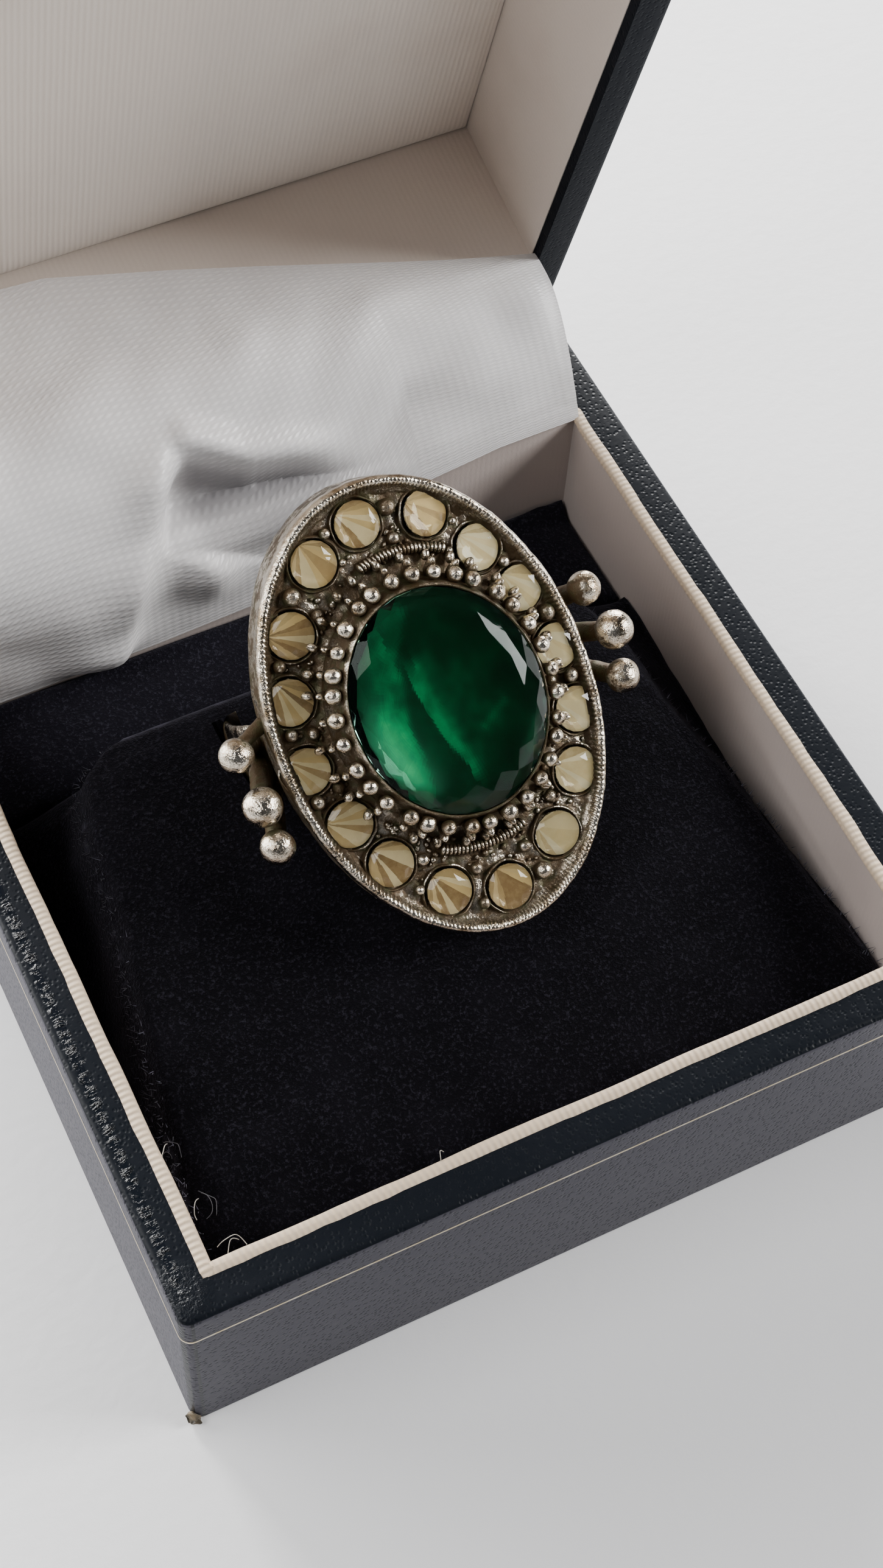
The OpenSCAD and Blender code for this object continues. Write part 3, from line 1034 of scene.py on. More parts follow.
@dataclass
class BoxLid:
    """The covered lid with its lining and ribbed panel, modelled closed and stood open."""
    sizes: BoxSizes

    def build(self) -> None:
        """Makes the lid's pieces."""
        s = self.sizes
        cover = self._cover()
        # The lid's side faces are painted a little paler than its other faces, as painted light.
        mark_wear_and_light(cover, lambda spot, normal: 0.12 if abs(normal.x) > 0.6 else 0.05)
        dress(cover, Leatherette(matt=0.3, shine=0.06).paint())
        smooth(cover, 50)
        deliver(cover, Body.LID, ["lid_shell"], s.lid_place)
        lining = self._lining()
        dress(lining, RibbedCloth("ribbed_cloth_lid_walls", strength=0.25).paint())
        deliver(lining, Body.LID, ["lid_lining"], s.lid_place)
        panel = self._panel()
        ribbed = RibbedCloth("ribbed_cloth_panel", (0.86, 0.78, 0.7), (0.6, 0.5, 0.42), strength=0.8)
        dress(panel, ribbed.paint())
        deliver(panel, Body.LID, ["lid_panel"], s.lid_place)

    def _cover(self) -> bpy.types.Object:
        """Models the covered lid with its well."""
        s = self.sizes
        block = covered_block("lid_cover", (s.width, s.depth, s.lid_high), (0, -s.half_d, s.lid_high / 2),
                              s.corner, 0.7, 0.5)
        wide, deep = s.width - 2 * s.lid_rim, s.depth - 2 * s.lid_rim
        sink(block, (wide, deep, s.lid_high - s.lid_wall - s.lip),
             (0, -s.half_d, (s.lid_high - s.lid_wall + s.lip) / 2))
        sink(block, (wide - 1.1, deep - 1.1, 4), (0, -s.half_d, 0))
        return block

    def _lining(self) -> bpy.types.Object:
        """Models the card lining round the inside of the lid."""
        s = self.sizes
        low, high = s.lip + 0.02, s.lid_high - s.lid_wall - 0.02
        front, back = -s.depth + s.lid_rim + 0.6, -s.lid_shelf
        wide = s.width - 2 * s.lid_rim - 1.2
        walls = start(Shape.CUBE, "lid_lining_cloth", (wide, back - front, high - low), size=1,
                      location=(0, (front + back) / 2, (low + high) / 2))
        with Edit(walls) as work:
            work.pick(lambda f: abs(f.normal.z) > 0.9)
            bpy.ops.mesh.delete(type="FACE")
            work.pick()
            bpy.ops.mesh.solidify(thickness=-0.6)
        outward(walls)
        lay_weave(walls)
        smooth(walls, 50)
        return walls

    def _panel(self) -> bpy.types.Object:
        """Models the ribbed panel, softly crowned, with tucked edges and two slack folds."""
        s = self.sizes
        wide = s.width - 2 * s.lid_rim - 1.3
        front, back = -s.depth + s.lid_rim + 0.65, -s.lid_shelf - 0.05
        mid = (front + back) / 2
        panel = start(Shape.GRID, "lid_panel_cloth", (wide, back - front, 1), x_subdivisions=60,
                      y_subdivisions=60, size=1, location=(0, mid, s.panel))

        def crown(spot: Vector) -> Vector:
            """Lifts the middle a little and lets the edge fall away."""
            u = spot.x / (wide / 2)
            v = (spot.y - mid) / ((back - front) / 2)
            edge = max(abs(u), abs(v))
            fall = max(0.0, edge - 0.965) / 0.035
            slack = 0.1 * math.sin(0.23 * spot.x + 0.5) * math.sin(0.11 * spot.y + 1.2)
            lift = 0.28 * fall ** 2 - 0.1 * (1 - u * u) * (1 - v * v) + slack * (1 - edge ** 4)
            return spot + UP * lift

        shift(panel, crown)
        with Edit(panel) as work:
            work.pick()
            extrude(0, 0, 0.7)
        outward(panel)
        lay_weave(panel)
        smooth(panel, 50)
        return panel


# Velvet and satin


def between(rows: Sequence[Sequence[float]], at: float) -> list[float]:
    """Reads a table of rows at a place between them.

    Args:
        rows: each starts with its own place, in rising order.
        at: the place wanted.

    Returns:
        The row's other values there.
    """
    at = min(max(at, rows[0][0]), rows[-1][0])
    for low, high in zip(rows, rows[1:]):
        if at <= high[0]:
            share = (at - low[0]) / (high[0] - low[0])
            return [a + (b - a) * share for a, b in zip(low[1:], high[1:])]
    return list(rows[-1][1:])


def ease(low: float, high: float, at: float) -> float:
    """Zero at low, one at high, smooth between."""
    share = min(max((at - low) / (high - low), 0.0), 1.0)
    return share * share * (3 - 2 * share)


@dataclass
class VelvetPads:
    """The raised pad that is slit for the band, and the low floor behind it.

    The rows give, along the box, the raised pad's half width and its height in the middle and at the walls. The
    velvet is loose as far down from a pad's top as said, and no point of it swells by more than the cap.
    """
    sizes: BoxSizes
    ring: "RingSizes"
    rows: tuple = ((-26.7, 23.7, 9.2, 9.2), (-24, 23.6, 10.2, 9.2), (-20, 23, 11.2, 8.8),
                   (-14, 22.4, 12.2, 6.8), (-8, 21.4, 13, 6), (-2, 20.2, 13.7, 6), (4, 19.6, 14, 6.4),
                   (8.2, 18.4, 14, 6.9), (9.6, 16.6, 13.9, 6.9), (10.2, 15.4, 13.3, 6.9))
    side: float = 23.9
    rear_high: float = 7
    gap: float = 0.3
    cap: float = 0.25
    loose: float = 9
    pressure: float = 4
    frames: int = 20

    def build(self) -> None:
        """Makes both pads."""
        raised = Velvet().paint()
        # The low rear floor takes a lighter copy of the velvet, painted brighter as painted light where it lies
        # in shade.
        low = Velvet("navy_velvet_rear_lightened", (0.008, 0.0075, 0.011), (0.06, 0.058, 0.08)).paint()
        pads = ((self._front(), "front_pad", 0.8, raised), (self._rear(), "rear_pad", 0.5, low))
        for piece, node, fill, velvet in pads:
            self._swell(piece)
            self._slit(piece)
            self._mark_painted_highlights(piece)
            dress(piece, velvet)
            smooth(piece, 60)
            deliver(piece, Body.BASE, [node])

    def height(self, x: float, y: float) -> float:
        """How high the front pad's velvet lies at a place in the box."""
        half, top, wall = between(self.rows, y)
        out = ease(half - 0.9, half + 1.3, abs(x))
        slope = 0.4 * ease(half, self.side, abs(x))
        soft = 0.09 * drift(x * 0.17, y * 0.2, 1.7) + 0.035 * drift(x * 0.7, y * 0.7, 4)
        return top + (wall + 0.45 * (top - wall) - top) * out - slope * (top - wall) + soft

    def _front(self) -> bpy.types.Object:
        """Models the raised pad."""
        front, back = self.rows[0][0], self.rows[-1][0]
        pad = start(Shape.GRID, "front_cushion", (2 * self.side, back - front, 1), x_subdivisions=132,
                    y_subdivisions=104, size=1, location=(0, (front + back) / 2, 0))
        shift(pad, lambda spot: Vector((spot.x, spot.y, self.height(spot.x, spot.y))))
        self._block(pad)
        return pad

    def _rear(self) -> bpy.types.Object:
        """Models the low velvet floor behind the raised pad."""
        front, back = self.rows[-1][0] + 0.4, self.sizes.wall_y - 0.1
        pad = start(Shape.GRID, "rear_cushion", (2 * self.side, back - front, 1), x_subdivisions=110,
                    y_subdivisions=24, size=1, location=(0, (front + back) / 2, 0))

        def lie(spot: Vector) -> Vector:
            """Lays the velvet a little lower along its edges, and up against the satin."""
            edge = max(abs(spot.x) / self.side, abs(2 * spot.y - front - back) / (back - front))
            lift = 0.1 * drift(spot.x * 0.2, spot.y * 0.2, 8) + ease(back - 1.6, back - 0.1, spot.y)
            drop = 0.12 + 0.5 * max(0.0, edge - 0.85) / 0.15
            return Vector((spot.x, spot.y, self.rear_high - drop + lift))

        shift(pad, lie)
        self._block(pad)
        return pad

    def _block(self, pad: bpy.types.Object) -> None:
        """Closes a pad's surface down to the box's floor."""
        with Edit(pad) as work:
            work.pick()
            extrude(0, 0, -1)
            bpy.ops.transform.resize(value=(1, 1, 0), center_override=(0, 0, self.sizes.floor))
        outward(pad)

    def _swell(self, pad: bpy.types.Object) -> None:
        """Simulates the velvet's pull over its filling, and keeps a small share of how the top moves."""
        low = max(v.co.z for v in pad.data.vertices) - self.loose
        twin = copy_of(pad, "swelling", Matrix.Scale(0.01, 4))
        held = twin.vertex_groups.new(name="held")
        held.add([v.index for v in pad.data.vertices if v.co.z < low], 1.0, "REPLACE")
        take(twin)
        cloth = twin.modifiers.new("Cloth", "CLOTH")
        cloth.settings.use_pressure = True
        cloth.settings.uniform_pressure_force = self.pressure
        cloth.settings.effector_weights.gravity = 0
        cloth.settings.vertex_group_mass = "held"
        for moment in range(self.frames):
            bpy.context.scene.frame_set(1 + moment)
        bpy.ops.object.modifier_apply(modifier=cloth.name)
        for vertex, moved in zip(pad.data.vertices, twin.data.vertices):
            step = moved.co * 100 - vertex.co
            vertex.co += step.normalized() * min(step.length, self.cap)
        bpy.context.scene.frame_set(1)
        remove(twin)

    def _slit(self, pad: bpy.types.Object) -> None:
        """Cuts the band's slit out of a pad."""
        r = self.ring
        half = r.band_w / 2 + self.gap
        low, high = r.band_r - self.gap, r.band_r + r.band_t + self.gap
        sides = ((high, -half), (high, half), (low, half), (low, -half))
        cutter = swept_ring("cutter", [(out, out, up) for out, up in sides], 96)
        cutter.data.transform(r.place @ Matrix.Translation((0, 0, r.band_z)) @ turned(90, "X"))
        outward(cutter)
        refine(pad, "BOOLEAN", operation="DIFFERENCE", solver="EXACT", object=cutter)
        remove(cutter)

    def _mark_painted_highlights(self, pad: bpy.types.Object) -> None:
        """Marks the top edges, where a lighter nap colour is painted on as a highlight."""
        marks = pad.data.attributes.new("ridge", "FLOAT", "POINT")
        for vertex, mark in zip(pad.data.vertices, marks.data):
            x, y, z = vertex.co
            half, top, _ = between(self.rows, y)
            side = max(0.0, 1 - abs(abs(x) - half - 0.2) / 0.7)
            lip = max(0.0, 1 - abs(y - self.rows[-1][0] + 0.3) / 0.6) * (abs(x) < half + 0.5)
            near = z > top - 1.6 and y < 11
            mark.value = max(side, lip) * near * (0.6 + 0.6 * noise.noise(vertex.co * 1.3))


def strand(name: str, path: Callable[[float], Vector], thick: float, cuts: int = 12) -> bpy.types.Object:
    """Models a thin thread along a path.

    Args:
        name: the thread's name.
        path: gives its middle from 0 at one end to 1 at the other.
        thick: its radius.
        cuts: how many rings it has between its ends.

    Returns:
        The thread.
    """
    made = start(Shape.CYLINDER, name, vertices=6, radius=thick, depth=1)
    with Edit(made, Parts.EDGES) as work:
        work.pick(lambda e: abs(e.verts[0].co.z - e.verts[1].co.z) > 0.5)
        bpy.ops.mesh.subdivide(number_cuts=cuts)

    def follow(at: Vector) -> Vector:
        """Lays a point of the straight thread along its path."""
        share = at.z + 0.5
        run = (path(share + 0.02) - path(share - 0.02)).normalized()
        side = run.cross(UP).normalized()
        return path(share) + side * at.x + side.cross(run) * at.y

    shift(made, follow)
    return made


@dataclass
class Lint:
    """The loose threads, specks and open nap on the velvet, and the burr at the box's lower front corner.

    Threads and loops are given by their ends' places across and along the box, and how far they curl.
    """
    pads: VelvetPads
    seed: int = 21
    fibres: int = 640
    threads: tuple = ((-22.8, -16.6, -22.3, -18.2, 0.2), (-22.8, -17.9, -23.2, -17.0, -0.2),
                      (-22.2, -20.5, -21.9, -22.4, 0.3), (-22.4, -22.2, -22.1, -20.6, -0.3),
                      (-7.2, -19.5, -5.9, -22.3, -0.7), (-16.9, -16.7, -16.9, -18.9, 0.3),
                      (-17.4, -22.5, -16.5, -22.0, 0.2), (-11.0, -20.2, -10.7, -21.0, 0.1),
                      (10.2, -13.7, 10.1, -14.8, 0.2), (-23.6, 5.7, -23.4, 2.2, 0.4),
                      (-22.7, 1.9, -21.7, 3.3, 0.2))
    loops: tuple = ((-23.2, -26.2, -21.6, -26.7, 0.4), (-22.8, -26.8, -21.9, -26.2, 0.3),
                    (-9.4, -26.8, -8.9, -26.2, 0.1), (-23.9, -19.9, -23.3, -19.1, 0.2),
                    (-23.6, -24.2, -23.0, -23.0, 0.2))
    specks: tuple = ((-2.76, -11.55, 0.17), (-11.27, -17.16, 0.08), (-19.55, -13.1, 0.06),
                     (-16.92, -12.55, 0.05), (11.29, -12.72, 0.07), (-14.26, -13.36, 0.05))

    def build(self) -> None:
        """Makes the fibres, the specks, the nap and the burr."""
        high = self.pads.sizes.base_high
        rand = random.Random(self.seed)
        hairs = [strand("thread", self._path(row, lambda x, y: self.pads.height(x, y) + 0.05, 0.15), 0.02)
                 for row in self.threads]
        grey = Fluff("grey_lint", (0.16, 0.16, 0.18), (0.06, 0.06, 0.07))
        self._hand_over(join(hairs, "velvet_threads"), grey)
        pieces = [strand("thread", self._path(row, lambda *_: high - 0.15, 0.3), 0.022) for row in self.loops]
        for x, y, size in self.specks:
            speck = start(Shape.ICO, "speck", subdivisions=2, radius=size,
                          location=(x, y, self.pads.height(x, y) + size * 0.4))
            shift(speck, lambda at: at + dent(at, 5, 3) * size * 0.8)
            pieces.append(speck)
        self._hand_over(join(pieces, "velvet_lint"), Fluff("pale_lint", (0.5, 0.46, 0.4), (0.26, 0.23, 0.2)))
        hair = start(Shape.CONE, "hair", vertices=4, radius1=0.03, radius2=0.004, depth=1,
                     location=(0, 0, 0.5))
        naps = [self._nap(hair, rand) for _ in range(self.fibres)]
        remove(hair)
        # The open nap's fibres are coloured much lighter than the velvet, as a painted highlight.
        self._hand_over(join(naps, "open_nap"), Fluff("navy_nap_highlight", (0.07, 0.068, 0.1), (0.02, 0.02, 0.03)))
        s = self.pads.sizes
        burr = start(Shape.ICO, "corner_burr", (0.36, 0.36, 0.46), subdivisions=4, radius=1,
                     location=(0.12 - s.half_w, 0.12 - s.half_d, 0.42))
        shift(burr, lambda at: at + dent(at, 4, 3, 0.6) * 0.3)
        self._hand_over(burr, Fluff("brown_burr", (0.16, 0.12, 0.07), (0.03, 0.025, 0.015)))

    @staticmethod
    def _path(row: Sequence[float], lie: Callable[[float, float], float],
              lift: float) -> Callable[[float], Vector]:
        """The curved path of a thread between two places, lifted in its middle."""
        x0, y0, x1, y1, curl = row

        def path(share: float) -> Vector:
            """A point of the thread."""
            bow = math.sin(math.pi * share)
            x = x0 + (x1 - x0) * share - (y1 - y0) * curl * bow
            y = y0 + (y1 - y0) * share + (x1 - x0) * curl * bow + 0.12 * math.sin(7 * share + x0)
            return Vector((x, y, lie(x, y) + lift * bow))

        return path

    def _nap(self, hair: bpy.types.Object, rand: random.Random) -> bpy.types.Object:
        """Stands one short fibre on the raised pad's upper edge."""
        y = rand.uniform(-26.2, 9.6)
        half = between(self.pads.rows, y)[0]
        side = -1 if rand.random() < 0.65 else 1
        x = side * (half + rand.gauss(0.1, 0.3))
        along, out = rand.gauss(0, 0.5), side * rand.uniform(-0.2, 1.1)
        lean = Matrix.Rotation(along, 4, "X") @ Matrix.Rotation(out, 4, "Y")
        long = Matrix.Diagonal((1, 1, rand.uniform(0.25, 0.6), 1))
        return copy_of(hair, "nap", Matrix.Translation((x, y, self.pads.height(x, y) - 0.04)) @ lean @ long)

    @staticmethod
    def _hand_over(piece: bpy.types.Object, finish: Fluff) -> None:
        """Dresses a piece and hands it to the base."""
        dress(piece, finish.paint())
        smooth(piece, 60)
        deliver(piece, Body.BASE)


@dataclass
class SatinApron:
    """The white satin sheet that covers the hinge space from the base to the lid.

    The rows give the hem's height and the reach into the lid across the box, the hinge line gives the sheet's
    depth and height where it crosses the hinge, the ridge gives where the fold's crest lies up the sheet, and
    each puff has its place, its half sizes and its height. The brow is the hollow's upper edge, as a place
    across, a place up the sheet and a slope, and the pit is the hollow's depth.
    """
    sizes: BoxSizes
    rows: tuple = ((-24.3, 7.2, 11.2), (-16, 7.2, 11.2), (-8, 7.4, 10.7), (0, 7.9, 8.5), (6, 10.4, 6.7),
                   (12, 14.7, 4.8), (18, 15.5, 2.9), (24.3, 15.6, 1.1))
    ridge: tuple = ((0, -11.7), (1.4, -11.5), (7.6, -10.0), (12, -8.0), (16.4, -5.8), (20, -3.5))
    puffs: tuple = ((-3.9, 7.4, 2.1, 3.6, 1.35), (-17.5, 13.0, 6.5, 6.0, 0.5), (10.5, 6.8, 4.5, 1.6, -0.6),
                    (2.7, 20.2, 3.2, 2.2, 0.4), (11.2, 14.8, 3.2, 2.4, 0.5), (17.0, 6.5, 3.0, 2.2, 0.5),
                    (22.3, 9.0, 2.0, 3.0, 0.35), (-9.0, 22.0, 3.0, 3.0, 0.4), (-15.0, 20.5, 2.0, 4.0, -0.3),
                    (-13.5, 5.0, 3.0, 4.0, 0.6))
    brow: tuple = (-4.6, 16.2, 0.66)
    pit: float = 3.0
    wall_top: float = 16.2
    hinge_line: tuple = ((20.4, 17.3), (22.3, 21.0), (24.4, 23.7), (26.3, 25.0))
    half: float = 24.3
    half_long: float = 17
    thick: float = 0.14
    across: int = 150
    along: int = 130

    def build(self) -> None:
        """Makes the sheet."""
        sheet = start(Shape.GRID, "satin_sheet", x_subdivisions=self.across, y_subdivisions=self.along,
                      size=2)
        weave = sheet.data.uv_layers.new(name="Weave")
        for corner in sheet.data.loops:
            spot = sheet.data.vertices[corner.vertex_index].co
            weave.data[corner.index].uv = ((spot.x + 1) * self.half, (spot.y + 1) * self.half_long)
        # Marks where painted shade falls beside the fold.
        creases = sheet.data.attributes.new("fold_shade", "FLOAT", "POINT")
        for vertex, fold_shade in zip(sheet.data.vertices, creases.data):
            fold_shade.value = self._fold_shade(vertex.co.x * self.half, (vertex.co.y + 1) / 2)
        shift(sheet, self._drape)
        refine(sheet, "SOLIDIFY", thickness=self.thick, offset=0.0)
        dress(sheet, Satin().paint())
        smooth(sheet, 60)
        sheet.data.transform(Matrix.Scale(MM, 4))
        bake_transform(sheet)
        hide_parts("satin_apron")
        LOG.info("satin_sheet: %d faces", len(sheet.data.polygons))

    def path(self, x: float) -> list[tuple[float, float]]:
        """The sheet's line from its hem to the lid's shelf, as depth and height in the box."""
        hem, reach = between(self.rows, x)
        wall, shelf = self.sizes.wall_y - 0.35, self.sizes.lid_shelf + 0.5
        turn = math.radians(self.sizes.lid_open)

        def on_shelf(deep: float) -> tuple[float, float]:
            """A point on the lid's shelf, that deep in the lid."""
            return (self.sizes.half_d - shelf * math.cos(turn) + deep * math.sin(turn),
                    self.sizes.base_high + shelf * math.sin(turn) + deep * math.cos(turn))

        return [(wall, hem), (wall, max(self.wall_top, hem + 0.4)), *self.hinge_line,
                on_shelf(max(0.4, 0.5 * reach)), on_shelf(max(0.8, reach))]

    def _fold_shade(self, x: float, share: float) -> float:
        """How much painted shade the sheet takes beside its fold, at a place across it and a share of the way
        up.
        """
        way = share * self._long(self.path(x))
        off = x - between(self.ridge, way)[0]
        under = self._under(x, way)
        beside = ease(1.0 + 0.35 * under, 3.6 + 0.35 * under, off)
        return beside * ease(12, 4, x) * ease(-0.3, 1.5, under) * ease(10, 3, under)

    def _under(self, x: float, way: float) -> float:
        """How far a place lies below the hollow's upper edge."""
        return self.brow[1] - self.brow[2] * (x - self.brow[0]) - way

    @staticmethod
    def _long(line: Sequence[tuple[float, float]]) -> float:
        """How long a line is."""
        return sum(math.dist(a, b) for a, b in zip(line, line[1:]))

    @staticmethod
    def _along(line: Sequence[tuple[float, float]], way: float) -> Vector:
        """The point of a line that far from its start, as depth and height."""
        for first, second in zip(line, line[1:]):
            step = math.dist(first, second)
            if way <= step or second == line[-1]:
                share = max(0.0, min(1.0, way / step))
                return Vector([a + (b - a) * share for a, b in zip(first, second)])
            way -= step
        return Vector(line[-1])

    def _fold(self, x: float, way: float) -> float:
        """How far the sheet stands off its line at a place across and along it, in millimetres."""
        off = x - between(self.ridge, way)[0]
        lumps = 1 + 0.4 * drift(way * 0.3, off * 0.1, 6)
        edge_way = max(0.4, self.wall_top - between(self.rows, x)[0])
        flank = 2.3 if off < 0 else 1.15
        high = 1.4 * lumps * ease(19.5, 14.5, way) * ease(-1, 3, way) / (1 + (off / flank) ** 2)
        under = self._under(x, way)
        high += 0.9 * math.exp(-((under + 1.3) / 1.2) ** 2) * ease(0, 2, off) * ease(8, 3, x)
        beside = ease(0.8, 3.0, off) * ease(8.0, 2.5, x)
        high -= self.pit * beside * ease(-0.9, 3.9, under) * ease(8.4, 4.9, under)
        for middle, down, wide, long, lift in self.puffs:
            high += lift * math.exp(-((x - middle) / wide) ** 2 - ((way - down) / long) ** 2)
        high += 0.14 * drift(x * 0.33, way * 0.3, 2)
        corner = (0.15 + 0.45 * ease(9, 5, x)) * math.exp(-((way - edge_way - 0.2) / 1.5) ** 2)
        return max(high, corner - 0.15 - 4 * ease(edge_way + 1.4, edge_way + 3.8, way))

    def _drape(self, flat: Vector) -> Vector:
        """Lays a point of the flat sheet, from -1 to 1 each way, along its path, with its folds."""
        x = flat.x * self.half
        line = self.path(x)
        full = self._long(line)
        way = (flat.y + 1) / 2 * full
        soft = [self._along(line, min(max(way + 0.9 * k, 0.0), full)) for k in (-2, -1, 0, 1, 2)]
        spot = sum(soft, Vector((0, 0))) / 5
        run = (soft[4] - soft[0]).normalized()
        held = ease(0, 1.5, way) * ease(full - 0.5, full - 5, way) * ease(self.half, self.half - 1.2, abs(x))
        spot += Vector((-run.y, run.x)) * self._fold(x, way) * held
        return Vector((x, spot.x, spot.y))


# The ring


@dataclass
class RingSizes:
    """The ring's own sizes in millimetres, and its place in the box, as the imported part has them."""
    at: Vector = field(default_factory=lambda: Vector((1.64, -2.85, 24.5)))
    yaw: float = 6.5
    lean: float = 40.1
    roll: float = -2.9
    head_a: float = 10.45
    head_b: float = 14.7
    bend: float = 90
    plate_t: float = 1.4
    row_a: float = 8.8
    row_b: float = 12.25
    row_power: float = 1.86
    gem_at: tuple = (0.2, 0.4)
    gem_turn: float = 4.4
    gem_a: float = 6.1
    gem_b: float = 7.1
    gem_z: float = 2.5
    crown_h: float = 1.05
    stone_r: float = 1.45
    girdle_z: float = 0.25
    band_r: float = 8.75
    band_t: float = 1.15
    band_w: float = 4.6
    band_gap: float = 2.5
    band_z: float = -13.3
    ball_z: float = -0.7
    ball_r: float = 1.1
    balls: tuple = ((12.1, 2.4), (12.95, -0.8), (12.3, -3.7), (-12.45, 2.55), (-12.25, -1.0), (-12.4, -3.6))
    arm_root: tuple = (9.25, 1.35, -9.6)
    stone_count: int = 16

    @property
    def place(self) -> Matrix:
        """Brings the ring's own frame, its plate facing up, to its place in the box."""
        turn = turned(self.yaw, "Z") @ turned(self.lean, "X") @ turned(self.roll, "Y")
        return Matrix.Translation(self.at) @ turn

    @property
    def gem_place(self) -> Matrix:
        """Brings the centre stone's frame to its place in the ring's own frame."""
        return Matrix.Translation((*self.gem_at, 0)) @ turned(self.gem_turn, "Z")

    def bent(self, spot: Vector) -> Vector:
        """Bends a point of the flat head across the finger."""
        swing = math.asin(max(-1.0, min(1.0, spot.x / self.bend)))
        out = self.bend + spot.z
        return Vector((out * math.sin(swing), spot.y, out * math.cos(swing) - self.bend))

    def on_plate(self, x: float, y: float, z: float = 0, turn: float = 0) -> Matrix:
        """Stands something on the bent plate at a place across and along it."""
        swing = math.asin(x / self.bend)
        return (Matrix.Translation((0, 0, -self.bend)) @ Matrix.Rotation(swing, 4, "Y")
                @ Matrix.Translation((0, y, self.bend + z)) @ Matrix.Rotation(turn, 4, "Z"))

    def row(self, share: float, scale: float = 1) -> tuple[float, float]:
        """A point of the small stones' row, that share of the way round it."""
        def spot(angle: float) -> tuple[float, float]:
            """A point of the rounded-diamond line at an angle."""
            c, s = math.cos(angle), math.sin(angle)
            power = 2 / self.row_power
            return (math.copysign(abs(c) ** power, c) * self.row_a * scale,
                    math.copysign(abs(s) ** power, s) * self.row_b * scale)

        marks = [spot(math.radians(k)) for k in range(361)]
        steps = [math.dist(a, b) for a, b in zip(marks, marks[1:])]
        way = (share % 1) * sum(steps)
        for k, step in enumerate(steps):
            if way <= step:
                return spot(math.radians(k + way / step))
            way -= step
        return marks[0]

    def seat_of(self, node: str) -> Vector:
        """The middle of a packed stone, in the ring's own frame."""
        inverse = self.place.inverted()
        spots = [inverse @ (vertex.co / MM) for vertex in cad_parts[node].data.vertices]
        return Vector([(min(part) + max(part)) / 2 for part in zip(*spots)])


def swept_ring(name: str, rings: Sequence[Sequence[float]], count: int) -> bpy.types.Object:
    """Extrudes a loop of edges through ellipses, one after another, and bridges the last to the first.

    Args:
        name: the piece's name.
        rings: half width, half length, height and, if they move, the middle's x and y.
        count: the vertices in each loop.

    Returns:
        The closed piece.
    """
    full = [(*ring, 0, 0)[:5] for ring in rings]
    a, b, z, x, y = full[0]
    piece = start(Shape.CIRCLE, name, (a, b, 1), vertices=count, radius=1, location=(x, y, z))
    with Edit(piece, Parts.EDGES) as work:
        work.pick()
        for old, new in zip(full, full[1:]):
            extrude(new[3] - old[3], new[4] - old[4], new[2] - old[2])
            bpy.ops.transform.resize(value=(new[0] / old[0], new[1] / old[1], 1),
                                     center_override=(new[3], new[4], 0))
        work.pick(lambda e: e.is_boundary)
        bpy.ops.mesh.bridge_edge_loops()
    return piece


def mark_tarnish_and_shade(piece: bpy.types.Object, amount: Callable[[Vector], float]) -> None:
    """Writes how much tarnish and painted shade each vertex of a casting takes.

    Args:
        piece: a bench piece.
        amount: gives what is added to its tarnish and painted shade at a vertex's place.
    """
    marks = piece.data.attributes.new("tarnish_and_shade", "FLOAT", "POINT")
    for vertex, mark in zip(piece.data.vertices, marks.data):
        mark.value = amount(vertex.co)


